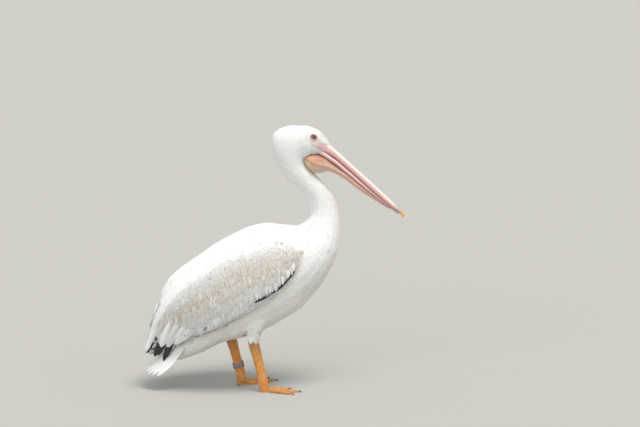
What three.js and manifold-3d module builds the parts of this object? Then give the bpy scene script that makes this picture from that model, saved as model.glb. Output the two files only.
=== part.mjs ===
// A standing American white pelican, life size, as a still museum model.
// Millimetres. +X is the way the bird faces, +Y its left, +Z up. The floor is z = 0.
// Each solid goes out to the tips of the feathers that cover it.
import * as THREE from "three";
import { mergeVertices } from "three/addons/utils/BufferGeometryUtils.js";
import Module from "manifold-3d";

const wasm = await Module();
wasm.setup();

// ---------------------------------------------------------------- driving sizes
const GAP = 0.4; // between neighbouring pieces
const BILL = {
  base: [172, 770], // x and z of the culmen's feathered end
  pitch: THREE.MathUtils.degToRad(43), // the bill points this far below level
  length: 309, // culmen without its nail
};
const EYE = { x: 123, z: 792, out: 25, radius: 10 };
const LEG = {
  featherEdge: { right: 166, left: 153 }, // above the floor
  heel: { right: [-28, -60], left: [-102, 58] },
  lean: { right: 0.23, left: 0.25 }, // how far back the shank goes for its rise
  splay: { right: 6, left: 13 }, // degrees
  ankleTop: 24, // where the foot ends and the shank begins
  deep: 15.5, // half the shank, front to back
  wide: 10.5, // half the shank, side to side
};
// Each toe: its length without the claw, its bearing (0 is forward, positive is inward), and its claw.
const TOES = [
  { name: "outer", length: 92, bearing: -21, claw: 11 },
  { name: "middle", length: 104, bearing: 0, claw: 12 },
  { name: "inner", length: 76, bearing: 24, claw: 11 },
  { name: "hind", length: 37, bearing: 118, claw: 9 },
];
const TOE = { root: 8, tip: 5, rise: 3.5 };
const WEB_THICK = 2.6;
const BAND = { height: 19, wall: 1.2, clearance: 0.5, above: 60 };

// Where the neck is parted: a place along NECK, and half the cutting plate's width.
const NECK_CUTS = [
  { station: 5.4, half: 50 },
  { station: 8, half: 60 },
  { station: 10.3, half: 110 },
];

// ---------------------------------------------------------------- stations
// x and z are a section's centre, tall its half size in the upright plane and wide its half size sideways.
const NECK = [
  { x: 61, z: 827, tall: 22, wide: 14 },
  { x: 61, z: 813, tall: 42, wide: 25 },
  { x: 59, z: 793, tall: 59, wide: 35 },
  { x: 55, z: 765, tall: 61, wide: 38 },
  { x: 54, z: 734, tall: 51, wide: 36.5 },
  { x: 61, z: 704, tall: 41, wide: 34.5 },
  { x: 79, z: 678, tall: 36, wide: 33.5 },
  { x: 116.5, z: 640, tall: 33, wide: 33.5 },
  { x: 149, z: 594, tall: 39.5, wide: 37 },
  { x: 158, z: 545, tall: 45, wide: 43 },
  { x: 146, z: 496, tall: 63, wide: 61 },
];
const TRUNK = [
  { x: 122, z: 457, tall: 86, wide: 86 },
  { x: 79, z: 421, tall: 117, wide: 107 },
  { x: 19, z: 388, tall: 148, wide: 118 },
  { x: -45, z: 355, tall: 155, wide: 121 },
  { x: -119, z: 314, tall: 155, wide: 118 },
  { x: -195, z: 279, tall: 140, wide: 104 },
  { x: -253, z: 248, tall: 126, wide: 78 },
  { x: -292, z: 214, tall: 90, wide: 53 },
  { x: -320, z: 180, tall: 52, wide: 32 },
  { x: -336, z: 156, tall: 24, wide: 15 },
];
const UNDERTAIL = [
  { x: -130, z: 235, tall: 70, wide: 86 },
  { x: -205, z: 185, tall: 54, wide: 66 },
  { x: -255, z: 153, tall: 50, wide: 50 },
  { x: -298, z: 118, tall: 31, wide: 38 },
  { x: -326, z: 93, tall: 13, wide: 24 },
];
const FACE = [
  { x: 60, z: 768, tall: 56, wide: 37 },
  { x: 88, z: 771, tall: 57, wide: 38 },
  { x: 115, z: 774, tall: 49, wide: 35 },
  { x: 138, z: 766, tall: 36, wide: 28.5 },
  { x: 155, z: 756, tall: 26, wide: 23.5 },
  { x: 170, z: 744, tall: 19, wide: 19 },
];
// The left wing. lean tips the section's top towards the back's middle, and wrap bends it round the trunk.
const WING = [
  { x: 94, y: 70, z: 446, tall: 12, wide: 8, lean: 18, wrap: 2 },
  { x: 79, y: 90, z: 443, tall: 36, wide: 14, lean: 18, wrap: 8 },
  { x: 52, y: 103, z: 436, tall: 56, wide: 19, lean: 18, wrap: 12 },
  { x: 14, y: 112, z: 421, tall: 78, wide: 22, lean: 17, wrap: 19 },
  { x: -30, y: 118, z: 403, tall: 95, wide: 24, lean: 15, wrap: 23 },
  { x: -78, y: 119, z: 379, tall: 102, wide: 25, lean: 15, wrap: 24 },
  { x: -160, y: 114, z: 333, tall: 103, wide: 25, lean: 15, wrap: 25 },
  { x: -248, y: 93, z: 277, tall: 97, wide: 22, lean: 15, wrap: 24 },
  { x: -310, y: 64, z: 227, tall: 76, wide: 16, lean: 14, wrap: 17 },
  { x: -354, y: 43, z: 168, tall: 44, wide: 9, lean: 12, wrap: 9 },
  { x: -388, y: 31, z: 112, tall: 12, wide: 3, lean: 6, wrap: 2 },
];
// The black flight feathers whose tips show past the white ones.
const PRIMARIES = [
  { x: -250, y: 68, z: 235, tall: 22, wide: 3, lean: 14, wrap: 2 },
  { x: -308, y: 46, z: 176, tall: 26, wide: 3.5, lean: 12, wrap: 2 },
  { x: -345, y: 33, z: 122, tall: 24, wide: 3, lean: 8, wrap: 1 },
  { x: -366, y: 28, z: 90, tall: 9, wide: 2, lean: 6, wrap: 0 },
];
// The tail fan. arch drops its outer feathers below the middle ones.
const TAIL = [
  { x: -262, z: 172, tall: 16, wide: 30, arch: 8 },
  { x: -305, z: 140, tall: 10, wide: 44, arch: 22 },
  { x: -350, z: 101, tall: 7, wide: 58, arch: 38 },
  { x: -400, z: 56, tall: 3.5, wide: 61, arch: 50 },
];
const THIGHS = {
  right: [
    { x: -58, y: -66, z: 270, tall: 50, wide: 30 },
    { x: -55, y: -66, z: 225, tall: 37, wide: 27 },
    { x: -59, y: -62, z: 192, tall: 24, wide: 20 },
    { x: -61, y: -60, z: 160, tall: 17, wide: 14 },
  ],
  left: [
    { x: -112, y: 66, z: 270, tall: 50, wide: 30 },
    { x: -120, y: 66, z: 225, tall: 38, wide: 27 },
    { x: -128, y: 61, z: 192, tall: 25, wide: 20 },
    { x: -131, y: 59, z: 160, tall: 17, wide: 14 },
  ],
};
// The bill's own frame: x along it, z square to it, with the culmen's base at the origin.
const UPPER_BILL = [
  { x: -34, z: -22, tall: 20, wide: 19 },
  { x: -4, z: -17, tall: 17, wide: 20.5 },
  { x: 30, z: -11, tall: 11, wide: 21 },
  { x: 110, z: -8.5, tall: 9.5, wide: 18.5 },
  { x: 190, z: -7.5, tall: 9.5, wide: 17.5 },
  { x: 262, z: -6, tall: 7.5, wide: 18 },
  { x: BILL.length, z: -5.5, tall: 5, wide: 12 },
];
const NAIL = [
  { x: BILL.length - 3, z: -4.5, tall: 4.5, wide: 8 },
  { x: BILL.length + 8, z: -5, tall: 5, wide: 7.5 },
  { x: BILL.length + 15, z: -9, tall: 3.8, wide: 5 },
  { x: BILL.length + 16, z: -15, tall: 2, wide: 2.5 },
];
const LOWER_BILL = [
  { x: -20, z: -46, tall: 8, wide: 21 },
  { x: 12, z: -34, tall: 8.5, wide: 22 },
  { x: 50, z: -28, tall: 8, wide: 21.5 },
  { x: 110, z: -24.5, tall: 6.8, wide: 18.5 },
  { x: 190, z: -21.5, tall: 4.8, wide: 15.5 },
  { x: 262, z: -16.5, tall: 3.2, wide: 12.5 },
  { x: BILL.length - 2, z: -12.8, tall: 2, wide: 7 },
];
const POUCH = [
  { x: -31, z: -90, tall: 12, wide: 26 },
  { x: -13, z: -80, tall: 24, wide: 34 },
  { x: 6, z: -74, tall: 31, wide: 36 },
  { x: 20, z: -67, tall: 30, wide: 34 },
  { x: 36, z: -57, tall: 24, wide: 28 },
  { x: 56, z: -48, tall: 13.5, wide: 23 },
  { x: 100, z: -39, tall: 10, wide: 18.5 },
  { x: 150, z: -35, tall: 9, wide: 16 },
  { x: 207, z: -28.5, tall: 7, wide: 12.5 },
  { x: 250, z: -21.5, tall: 5.5, wide: 9.5 },
  { x: 285, z: -16.5, tall: 3.5, wide: 6.5 },
];

// ---------------------------------------------------------------- shapes
// A closed solid of superellipse sections strung on a smooth spine, grown all round by grow.
// round says what share of its length each end takes to close; power 2 is an ellipse.
function loft(stations, { around = 20, along = 24, round = [0.1, 0.1], power = 2, grow = 0 } = {}) {
  const curve = (read) => smoothLine(stations.map((s) => new THREE.Vector3(...read(s))));
  const spine = curve((s) => [s.x, s.y ?? 0, s.z]);
  const sizes = curve((s) => [s.tall + grow, s.wide + grow, 0]);
  const turns = curve((s) => [s.lean ?? 0, s.wrap ?? 0, s.arch ?? 0]);
  const geometry = new THREE.CylinderGeometry(1, 1, 1, around, along, false);
  const places = geometry.getAttribute("position");
  const sideways = new THREE.Vector3(0, 1, 0);
  for (let i = 0; i < places.count; i += 1) {
    const t = 0.5 - places.getY(i);
    const tangent = spine.getTangent(t);
    const size = sizes.getPoint(t);
    const turn = turns.getPoint(t);
    const side = sideways.clone().addScaledVector(tangent, -sideways.dot(tangent)).normalize();
    const up = new THREE.Vector3().crossVectors(side, tangent).normalize();
    const lean = THREE.MathUtils.degToRad(turn.x);
    const leanSide = side.clone().multiplyScalar(Math.cos(lean)).addScaledVector(up, Math.sin(lean));
    const leanUp = up.clone().multiplyScalar(Math.cos(lean)).addScaledVector(side, -Math.sin(lean));
    const close = closing(t, round[0]) * closing(1 - t, round[1]);
    const across = superCircle(places.getX(i), power) * close;
    const upright = superCircle(places.getZ(i), power) * close;
    const point = spine
      .getPoint(t)
      .addScaledVector(leanSide, across * size.y - turn.y * upright * upright)
      .addScaledVector(leanUp, upright * size.x - turn.z * across * across);
    places.setXYZ(i, point.x, point.y, point.z);
  }
  return geometry;
}

function smoothLine(points) {
  return new THREE.CatmullRomCurve3(points, false, "catmullrom", 0.5);
}

function superCircle(value, power) {
  return Math.sign(value) * Math.abs(value) ** (2 / power);
}

// A rounded end: full size once t has passed the end's share of the length.
function closing(t, share) {
  if (t >= share) return 1;
  const left = 1 - t / share;
  return Math.max(0.3, Math.sqrt(1 - left * left));
}

// A geometry as a solid, turned outwards if its faces point in.
function solid(geometry) {
  const bare = geometry.clone();
  bare.deleteAttribute("normal");
  bare.deleteAttribute("uv");
  const merged = mergeVertices(bare, 1e-3);
  const vertProperties = merged.getAttribute("position").array;
  const triVerts = new Uint32Array(merged.index.array);
  const made = new wasm.Manifold(new wasm.Mesh({ numProp: 3, vertProperties, triVerts }));
  if (made.volume() > 0) return made;
  return new wasm.Manifold(new wasm.Mesh({ numProp: 3, vertProperties, triVerts: triVerts.reverse() }));
}

function geometryOf(made) {
  const mesh = made.getMesh();
  const geometry = new THREE.BufferGeometry();
  geometry.setAttribute("position", new THREE.BufferAttribute(mesh.vertProperties, 3));
  geometry.setIndex(new THREE.BufferAttribute(mesh.triVerts, 1));
  geometry.computeVertexNormals();
  return geometry;
}

function biggest(made) {
  return made.decompose().sort((a, b) => b.volume() - a.volume())[0];
}

function union(solids) {
  return solids.reduce((a, b) => a.add(b));
}

// A thin square plate that parts the neck square to its spine.
function neckCut({ station, half }) {
  const spine = smoothLine(bodySpine.map((s) => new THREE.Vector3(s.x, 0, s.z)));
  const t = station / (bodySpine.length - 1);
  const plate = new THREE.Mesh(new THREE.BoxGeometry(half * 2, half * 2, GAP));
  plate.quaternion.setFromUnitVectors(new THREE.Vector3(0, 0, 1), spine.getTangent(t));
  plate.position.copy(spine.getPoint(t));
  plate.updateMatrix();
  return solid(plate.geometry.applyMatrix4(plate.matrix));
}

function mirrored(made) {
  return solid(geometryOf(made).scale(1, -1, 1));
}

// ---------------------------------------------------------------- looks
const finish = (color, roughness) => new THREE.MeshStandardMaterial({ color, roughness, metalness: 0 });
const LOOK = {
  plumage: finish(0xe9e8e3, 0.85),
  flight: finish(0x1c1a19, 0.6),
  bill: finish(0xd9a197, 0.45),
  pouch: finish(0xc08a62, 0.55),
  nail: finish(0xe0a040, 0.4),
  leg: finish(0xd98433, 0.55),
  claw: finish(0x6b5a45, 0.4),
  eye: finish(0x24120d, 0.1),
  band: new THREE.MeshStandardMaterial({ color: 0x8f8c8a, roughness: 0.45, metalness: 1 }),
};

const bird = new THREE.Group();
function add(parent, name, geometry, material) {
  const mesh = new THREE.Mesh(geometry, material);
  mesh.name = name;
  parent.add(mesh);
  return mesh;
}

// ---------------------------------------------------------------- bill and pouch
const billGroup = new THREE.Group();
billGroup.position.set(BILL.base[0], 0, BILL.base[1]);
billGroup.rotation.y = BILL.pitch;
billGroup.updateMatrix();
bird.add(billGroup);
const intoBill = billGroup.matrix.clone().invert();

const BILL_LOFT = { around: 12, along: 10, round: [0.04, 0.05], power: 2.5 };
const NAIL_LOFT = { around: 10, along: 6, round: [0.15, 0.25] };
const POUCH_LOFT = { around: 12, along: 13, round: [0.06, 0.06], power: 2.1 };

const bodySpine = [...NECK, ...TRUNK];
const bodyLofts = (grow) => [
  loft(bodySpine, { around: 20, along: 40, round: [0.02, 0.03], grow }),
  loft(UNDERTAIL, { around: 14, along: 6, round: [0.1, 0.08], grow }),
  loft(FACE, { around: 16, along: 8, round: [0.25, 0.1], power: 2.1, grow }),
];
const bodySolid = (grow) => union(bodyLofts(grow).map(solid));
const headInBill = union(bodyLofts(GAP).map((geometry) => solid(geometry.applyMatrix4(intoBill))));

const nail = solid(loft(NAIL, NAIL_LOFT));
const nailGrown = solid(loft(NAIL, { ...NAIL_LOFT, grow: GAP }));
const lowerGrown = solid(loft(LOWER_BILL, { ...BILL_LOFT, grow: GAP }));
const upperGrown = solid(loft(UPPER_BILL, { ...BILL_LOFT, grow: GAP }));
const upperBill = biggest(solid(loft(UPPER_BILL, BILL_LOFT)).subtract(headInBill).subtract(nailGrown));
const lowerBill = biggest(
  solid(loft(LOWER_BILL, BILL_LOFT)).subtract(headInBill).subtract(upperGrown).subtract(nailGrown),
);
const pouch = biggest(solid(loft(POUCH, POUCH_LOFT)).subtract(lowerGrown).subtract(upperGrown));
add(billGroup, "bill_upper", geometryOf(upperBill), LOOK.bill);
add(billGroup, "bill_nail", geometryOf(nail), LOOK.nail);
add(billGroup, "bill_lower", geometryOf(lowerBill), LOOK.bill);
add(billGroup, "pouch", geometryOf(pouch), LOOK.pouch);

// ---------------------------------------------------------------- eyes
function eyeball(side, grow = 0) {
  const ball = new THREE.SphereGeometry(EYE.radius + grow, 10, 7);
  return ball.translate(EYE.x, side * EYE.out, EYE.z);
}
add(bird, "eye_right", eyeball(-1), LOOK.eye);
add(bird, "eye_left", eyeball(1), LOOK.eye);

// ---------------------------------------------------------------- head, neck and trunk
const pouchInBody = solid(loft(POUCH, { ...POUCH_LOFT, grow: GAP }).applyMatrix4(billGroup.matrix));
function thighSolid(side, grow = 0) {
  const whole = solid(loft(THIGHS[side], { around: 12, along: 6, round: [0.3, 0.05], grow }));
  return whole.trimByPlane([0, 0, 1], LEG.featherEdge[side] - grow);
}
const wholeBody = bodySolid(0)
  .subtract(pouchInBody)
  .subtract(solid(eyeball(-1, GAP)))
  .subtract(solid(eyeball(1, GAP)))
  .subtract(thighSolid("right", GAP))
  .subtract(thighSolid("left", GAP))
  .subtract(union(NECK_CUTS.map(neckCut)));
const bodyPieces = wholeBody
  .decompose()
  .filter((piece) => piece.volume() > 1000)
  .sort((a, b) => b.boundingBox().max[2] - a.boundingBox().max[2]);
["head", "neck_upper", "neck_lower", "trunk"].forEach((name, i) =>
  add(bird, name, geometryOf(bodyPieces[i]), LOOK.plumage),
);

// ---------------------------------------------------------------- thighs, wings and tail
add(bird, "thigh_right", geometryOf(thighSolid("right")), LOOK.plumage);
add(bird, "thigh_left", geometryOf(thighSolid("left")), LOOK.plumage);

const WING_LOFT = { around: 14, along: 15, round: [0.03, 0.04], power: 2.2 };
const bodyGrown = union([bodySolid(GAP), thighSolid("left", GAP), thighSolid("right", GAP)]);
const leftHalf = (made) => made.trimByPlane([0, 1, 0], GAP);
const wingLeft = biggest(leftHalf(solid(loft(WING, WING_LOFT))).subtract(bodyGrown));
const wingGrown = solid(loft(WING, { ...WING_LOFT, grow: GAP }));
add(bird, "wing_left", geometryOf(wingLeft), LOOK.plumage);
add(bird, "wing_right", geometryOf(mirrored(wingLeft)), LOOK.plumage);

const TAIL_LOFT = { around: 14, along: 6, round: [0.1, 0.2] };
const tail = biggest(
  solid(loft(TAIL, TAIL_LOFT)).subtract(bodyGrown).subtract(wingGrown).subtract(mirrored(wingGrown)),
);
add(bird, "tail", geometryOf(tail), LOOK.plumage);

const primaries = biggest(
  leftHalf(solid(loft(PRIMARIES, { around: 8, along: 5, round: [0.1, 0.15] })))
    .subtract(bodyGrown)
    .subtract(wingGrown)
    .subtract(solid(loft(TAIL, { ...TAIL_LOFT, grow: GAP }))),
);
add(bird, "primaries_left", geometryOf(primaries), LOOK.flight);
add(bird, "primaries_right", geometryOf(mirrored(primaries)), LOOK.flight);

// ---------------------------------------------------------------- legs and feet
// A leg is made as a right one in its own frame, its heel on the floor at the origin and its toes forward.
// The left one is its mirror image. The shank's two half sizes grow by more at each height.
const SHANK_SWELL = [
  { z: 0, more: 1 },
  { z: 24, more: 0 },
  { z: 60, more: -1 },
  { z: 105, more: -0.5 },
  { z: 145, more: 1.5 },
  { z: 180, more: 0.5 },
];
const toeEnd = (toe, length) => {
  const bearing = THREE.MathUtils.degToRad(toe.bearing);
  return [length * Math.cos(bearing), length * Math.sin(bearing)];
};

function toeSolid(toe) {
  const [x, y] = toeEnd(toe, toe.length);
  const stations = [0, 0.35, 0.7, 1].map((share) => ({
    x: x * share,
    y: y * share,
    z: TOE.rise + (1 - share) * TOE.rise,
    tall: THREE.MathUtils.lerp(TOE.root, TOE.tip, share),
    wide: THREE.MathUtils.lerp(TOE.root, TOE.tip, share),
  }));
  return solid(loft(stations, { around: 7, along: 4, round: [0.05, 0.12] }));
}

function clawSolid(toe) {
  const reach = [0, 0.35, 0.7, 1].map((share) => {
    const [x, y] = toeEnd(toe, toe.length + GAP * 1.5 + toe.claw * share);
    const size = TOE.tip * (0.7 - 0.52 * share);
    const z = Math.max(TOE.rise + 1.5 - 3.2 * share * share, size);
    return { x, y, z, tall: size, wide: size * 0.8 };
  });
  return solid(loft(reach, { around: 7, along: 3, round: [0.1, 0.1] })).trimByPlane([0, 0, 1], 0);
}

function webSolid() {
  const tips = TOES.map((toe) => toeEnd(toe, toe.length * 0.97));
  const outline = new THREE.Shape();
  outline.moveTo(-6, -6);
  outline.lineTo(...tips[0]);
  for (let i = 1; i < tips.length; i += 1) {
    const middle = [(tips[i - 1][0] + tips[i][0]) / 2, (tips[i - 1][1] + tips[i][1]) / 2];
    outline.quadraticCurveTo(middle[0] * 0.82, middle[1] * 0.82, ...tips[i]);
  }
  outline.closePath();
  const options = { depth: WEB_THICK, bevelEnabled: false, curveSegments: 4 };
  return solid(new THREE.ExtrudeGeometry(outline, options));
}

// How far behind the heel the shank's middle is at a height.
function shankBack(side, z) {
  return -LEG.lean[side] * z * (z / SHANK_SWELL.at(-1).z) ** 0.2;
}

function shankSolid(side) {
  const stations = SHANK_SWELL.map(({ z, more }) => ({
    x: shankBack(side, z),
    z,
    tall: LEG.deep + more,
    wide: LEG.wide + more,
  }));
  return solid(loft(stations, { around: 14, along: 8, round: [0, 0] }));
}

function footSolid(grow = 0) {
  const toes = TOES.map((toe) => toeSolid({ ...toe, length: toe.length + grow }));
  return union([...toes, webSolid()]);
}

function bandGeometry() {
  const inner = LEG.wide + BAND.clearance;
  const profile = [
    [inner, 0],
    [inner + BAND.wall, 0],
    [inner + BAND.wall, BAND.height],
    [inner, BAND.height],
    [inner, 0],
  ];
  const ring = new THREE.LatheGeometry(profile.map((p) => new THREE.Vector2(...p)), 20);
  ring.rotateX(Math.PI / 2);
  ring.scale((LEG.deep + BAND.clearance) / inner, 1, 1);
  ring.translate(0, 0, -BAND.height / 2);
  return ring;
}

for (const side of ["right", "left"]) {
  const leg = new THREE.Group();
  const mirror = side === "left" ? -1 : 1;
  leg.position.set(...LEG.heel[side], 0);
  leg.rotation.z = -mirror * THREE.MathUtils.degToRad(LEG.splay[side]);
  leg.scale.y = mirror;
  bird.add(leg);
  const whole = shankSolid(side).add(footSolid()).trimByPlane([0, 0, 1], 0);
  const foot = whole.trimByPlane([0, 0, -1], -LEG.ankleTop);
  const shank = biggest(whole.trimByPlane([0, 0, 1], LEG.ankleTop + GAP));
  const tarsus = shank.trimByPlane([0, 0, -1], GAP - LEG.featherEdge[side]);
  add(leg, `foot_${side}`, geometryOf(foot), LOOK.leg);
  add(leg, `tarsus_${side}`, geometryOf(tarsus), LOOK.leg);
  for (const toe of TOES) {
    const claw = clawSolid(toe).subtract(footSolid(GAP));
    add(leg, `claw_${toe.name}_${side}`, geometryOf(biggest(claw)), LOOK.claw);
  }
  if (side === "left") {
    const band = add(leg, "leg_band", bandGeometry(), LOOK.band);
    band.position.set(shankBack(side, BAND.above), 0, BAND.above);
    band.rotation.y = -Math.atan(LEG.lean.left);
  }
}

// ---------------------------------------------------------------- the frame's origin, under the box's middle
const box = new THREE.Box3().setFromObject(bird);
bird.position.set(-(box.min.x + box.max.x) / 2, -(box.min.y + box.max.y) / 2, 0);

const pelican = new THREE.Group();
pelican.add(bird);
export default pelican;
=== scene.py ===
import math

import bpy
import numpy as np
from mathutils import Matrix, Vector
from mathutils.bvhtree import BVHTree
from mathutils.kdtree import KDTree


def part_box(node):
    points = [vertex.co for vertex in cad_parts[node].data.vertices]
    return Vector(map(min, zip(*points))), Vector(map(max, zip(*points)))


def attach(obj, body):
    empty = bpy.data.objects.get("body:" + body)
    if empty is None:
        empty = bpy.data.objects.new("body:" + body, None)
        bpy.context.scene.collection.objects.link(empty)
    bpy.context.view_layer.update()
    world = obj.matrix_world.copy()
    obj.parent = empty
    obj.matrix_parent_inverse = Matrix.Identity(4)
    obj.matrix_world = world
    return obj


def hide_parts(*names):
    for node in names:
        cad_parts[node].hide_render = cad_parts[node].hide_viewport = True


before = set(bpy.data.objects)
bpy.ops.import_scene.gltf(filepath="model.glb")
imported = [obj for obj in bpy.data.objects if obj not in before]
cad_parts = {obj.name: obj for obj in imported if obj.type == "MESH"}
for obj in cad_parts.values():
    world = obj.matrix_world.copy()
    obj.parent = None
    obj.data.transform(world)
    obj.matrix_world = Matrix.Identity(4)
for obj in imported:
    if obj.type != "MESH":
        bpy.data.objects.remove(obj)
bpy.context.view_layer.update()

# ---------------------------------------------------------------- camera, light and floor
# A long lens looks level across the bird's right side from a little above its back. A broad
# overhead light, a weak one from the viewer's side and a pale room light it, on a plain floor.
# Sizes below are in millimetres on the bird's own grid: x forward, y to its left, z up. Its
# eye has the same place on the grid as in the CAD model, which ties the two together.
EYE_PLACE = np.array((123, 25, 792))
eye_low, eye_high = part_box("eye_right")
grid_shift = (eye_low.x + eye_high.x) / 2 - EYE_PLACE[0] / 1000


def metres(points):
    """Points of the bird's grid, in millimetres, as metres in the model's frame."""
    return np.asarray(points, float) / 1000 + np.array((grid_shift, 0, 0))


def grid(points):
    """Points of the model's frame, in metres, as millimetres on the bird's grid."""
    return (np.asarray(points, float) - np.array((grid_shift, 0, 0))) * 1000


CAMERA_AIM = (144, 0, 551.8)
CAMERA_TILT = math.radians(9)
CAMERA_REACH = 7.0
SENSOR_WIDTH = 36
PICTURE_WIDTH = 1.984
aim = Vector(metres(CAMERA_AIM))
reach = Vector((0, -math.cos(CAMERA_TILT), math.sin(CAMERA_TILT))) * CAMERA_REACH
bpy.ops.object.camera_add(location=aim + reach, rotation=(math.pi / 2 - CAMERA_TILT, 0, 0))
camera = bpy.context.object
camera.data.sensor_width = SENSOR_WIDTH
camera.data.lens = SENSOR_WIDTH * CAMERA_REACH / PICTURE_WIDTH
camera.data.clip_end = 200
bpy.context.scene.camera = camera

# Each light: which way it is turned and how wide it is, in degrees, its strength and its colour.
LIGHTS = (((16, 14, 0), 24, 2.35, (1.0, 0.975, 0.94)), ((66, 0, -24), 50, 1.05, (0.9, 0.95, 1.0)))
for turned, width, strength, colour in LIGHTS:
    bpy.ops.object.light_add(type="SUN", rotation=[math.radians(angle) for angle in turned])
    light = bpy.context.object
    light.data.energy = strength
    light.data.angle = math.radians(width)
    light.data.color = colour

room = bpy.data.worlds.new("pale_room")
room.use_nodes = True
air = room.node_tree.nodes["Background"]
air.inputs["Color"].default_value = (0.81, 0.81, 0.785, 1)
air.inputs["Strength"].default_value = 0.77
bpy.context.scene.world = room
bpy.context.scene.view_settings.view_transform = "Standard"

bpy.ops.mesh.primitive_plane_add(size=90, location=(0, 0, 0))
floor = bpy.context.object
floor.name = "studio_floor"
paint = bpy.data.materials.new("floor_paint")
paint.use_nodes = True
flat_paint = paint.node_tree.nodes["Principled BSDF"]
flat_paint.inputs["Base Color"].default_value = (0.43, 0.425, 0.405, 1)
flat_paint.inputs["Roughness"].default_value = 0.9
floor.data.materials.append(paint)

# ---------------------------------------------------------------- the coat's form
# Not a piece of the bird: the smooth outer shape of all its feathered parts, which the
# skin is drawn in from and the feathers are laid on. It is removed at the end.


def only(thing):
    """Selects one object and nothing else."""
    bpy.ops.object.select_all(action="DESELECT")
    thing.hide_set(False)
    thing.select_set(True)
    bpy.context.view_layer.objects.active = thing


def gather(name, pieces):
    """Joins objects into one piece."""
    only(pieces[0])
    for piece in pieces:
        piece.select_set(True)
    if len(pieces) > 1:
        bpy.ops.object.join()
    whole = bpy.context.object
    whole.name = name
    return whole


def joined_copy(name, nodes, swell=0.0):
    """One merged copy of CAD nodes, each swollen a little so that they run into each other."""
    copies = []
    for node in nodes:
        copy = bpy.data.objects.new(name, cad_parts[node].data.copy())
        bpy.context.collection.objects.link(copy)
        only(copy)
        bpy.ops.object.mode_set(mode="EDIT")
        bpy.ops.mesh.select_all(action="SELECT")
        bpy.ops.mesh.remove_doubles(threshold=1e-5)
        bpy.ops.mesh.normals_make_consistent(inside=False)
        bpy.ops.transform.shrink_fatten(value=swell)
        bpy.ops.object.mode_set(mode="OBJECT")
        copies.append(copy)
    thing = gather(name, copies)
    thing.data.materials.clear()
    return thing


def fuse(thing, voxel, passes):
    """Makes touching closed shapes one evenly meshed shape, and rounds it."""
    only(thing)
    melt = thing.modifiers.new("melt", "REMESH")
    melt.mode = "VOXEL"
    melt.voxel_size = voxel
    ease = thing.modifiers.new("ease", "SMOOTH")
    ease.factor = 0.5
    ease.iterations = passes
    bpy.ops.object.modifier_apply(modifier="melt")
    bpy.ops.object.modifier_apply(modifier="ease")


def corners(thing):
    """The mesh's points on the bird's grid, and its outward normals."""
    mesh = thing.data
    spots = np.zeros(len(mesh.vertices) * 3, np.float32)
    mesh.vertices.foreach_get("co", spots)
    turns = np.zeros(len(mesh.vertices) * 3, np.float32)
    mesh.vertex_normals.foreach_get("vector", turns)
    return grid(spots.reshape(-1, 3)), turns.reshape(-1, 3).astype(float)


def triangles(thing):
    """The mesh's triangles, as rows of three point numbers."""
    thing.data.calc_loop_triangles()
    rows = np.zeros(len(thing.data.loop_triangles) * 3, np.int32)
    thing.data.loop_triangles.foreach_get("vertices", rows)
    return rows.reshape(-1, 3)


def set_corners(thing, spots):
    """Moves the mesh's points to new places on the bird's grid."""
    thing.data.vertices.foreach_set("co", metres(spots).astype(np.float32).ravel())
    thing.data.update()


def unit(rows):
    """Rows drawn out or in to the length 1."""
    return rows / np.maximum(np.linalg.norm(rows, axis=-1, keepdims=True), 1e-9)


def surface_of(node):
    """A CAD node's surface on the bird's grid, to measure from."""
    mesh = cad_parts[node].data
    mesh.calc_loop_triangles()
    spots = grid([v.co for v in mesh.vertices]).tolist()
    return BVHTree.FromPolygons(spots, [t.vertices for t in mesh.loop_triangles])


def nearest_part(points, nodes):
    """For each point of the grid, the number of the CAD node that lies nearest to it."""
    surfaces = [surface_of(node) for node in nodes]
    gaps = [[surface.find_nearest(point)[3] for point in points.tolist()] for surface in surfaces]
    return np.argmin(np.array(gaps), axis=0)


FEATHERED = (
    "head", "neck_upper", "neck_lower", "trunk", "wing_right", "wing_left", "thigh_right", "thigh_left",
)
coat_form = joined_copy("coat_form", (*FEATHERED, "eye_right", "eye_left"), swell=0.0005)
fuse(coat_form, voxel=0.004, passes=7)
form_spots, form_turns = corners(coat_form)
form_faces = triangles(coat_form)
form_tree = BVHTree.FromPolygons(form_spots.tolist(), form_faces.tolist())
face_turns = unit(form_turns[form_faces].mean(axis=1))
face_spots = form_spots[form_faces]
face_middles = face_spots.mean(axis=1)
face_sides = face_spots[:, 1:] - face_spots[:, :1]
face_areas = np.linalg.norm(np.cross(face_sides[:, 0], face_sides[:, 1]), axis=1) / 2
face_part = nearest_part(face_middles, FEATHERED)

# The line down the middle of the head, neck, trunk and tail. How far a point lies along it and
# round it is the unwrap that places each feather's patch.
KEEL = (
    (175, 748), (150, 764), (120, 782), (85, 790), (60, 782), (52, 760), (54, 734), (61, 704), (79, 678),
    (116, 640), (149, 594), (158, 545), (148, 498), (118, 452), (72, 418), (19, 388), (-45, 355),
    (-119, 314), (-195, 272), (-253, 232), (-292, 196), (-336, 150), (-400, 70),
)


def smooth_line(stations, at):
    """Reads a table of stations as one smooth line: at 0 the first row, at 1 the last."""
    rows = np.asarray(stations, float)
    rows = np.vstack((2 * rows[0] - rows[1], rows, 2 * rows[-1] - rows[-2]))
    at = np.clip(np.asarray(at, float), 0, 1) * (len(rows) - 3)
    i = np.minimum(at.astype(int), len(rows) - 4)
    f = (at - i)[..., None]
    a, b, c, d = rows[i], rows[i + 1], rows[i + 2], rows[i + 3]
    square = (2 * a - 5 * b + 4 * c - d) * f**2
    cube = (3 * b - a - 3 * c + d) * f**3
    return 0.5 * (2 * b + (c - a) * f + square + cube)


keel = smooth_line(KEEL, np.linspace(0, 1, 241))
keel_steps = unit(np.gradient(keel, axis=0))
keel_reach = np.concatenate(((0,), np.cumsum(np.linalg.norm(np.diff(keel, axis=0), axis=1))))


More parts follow.
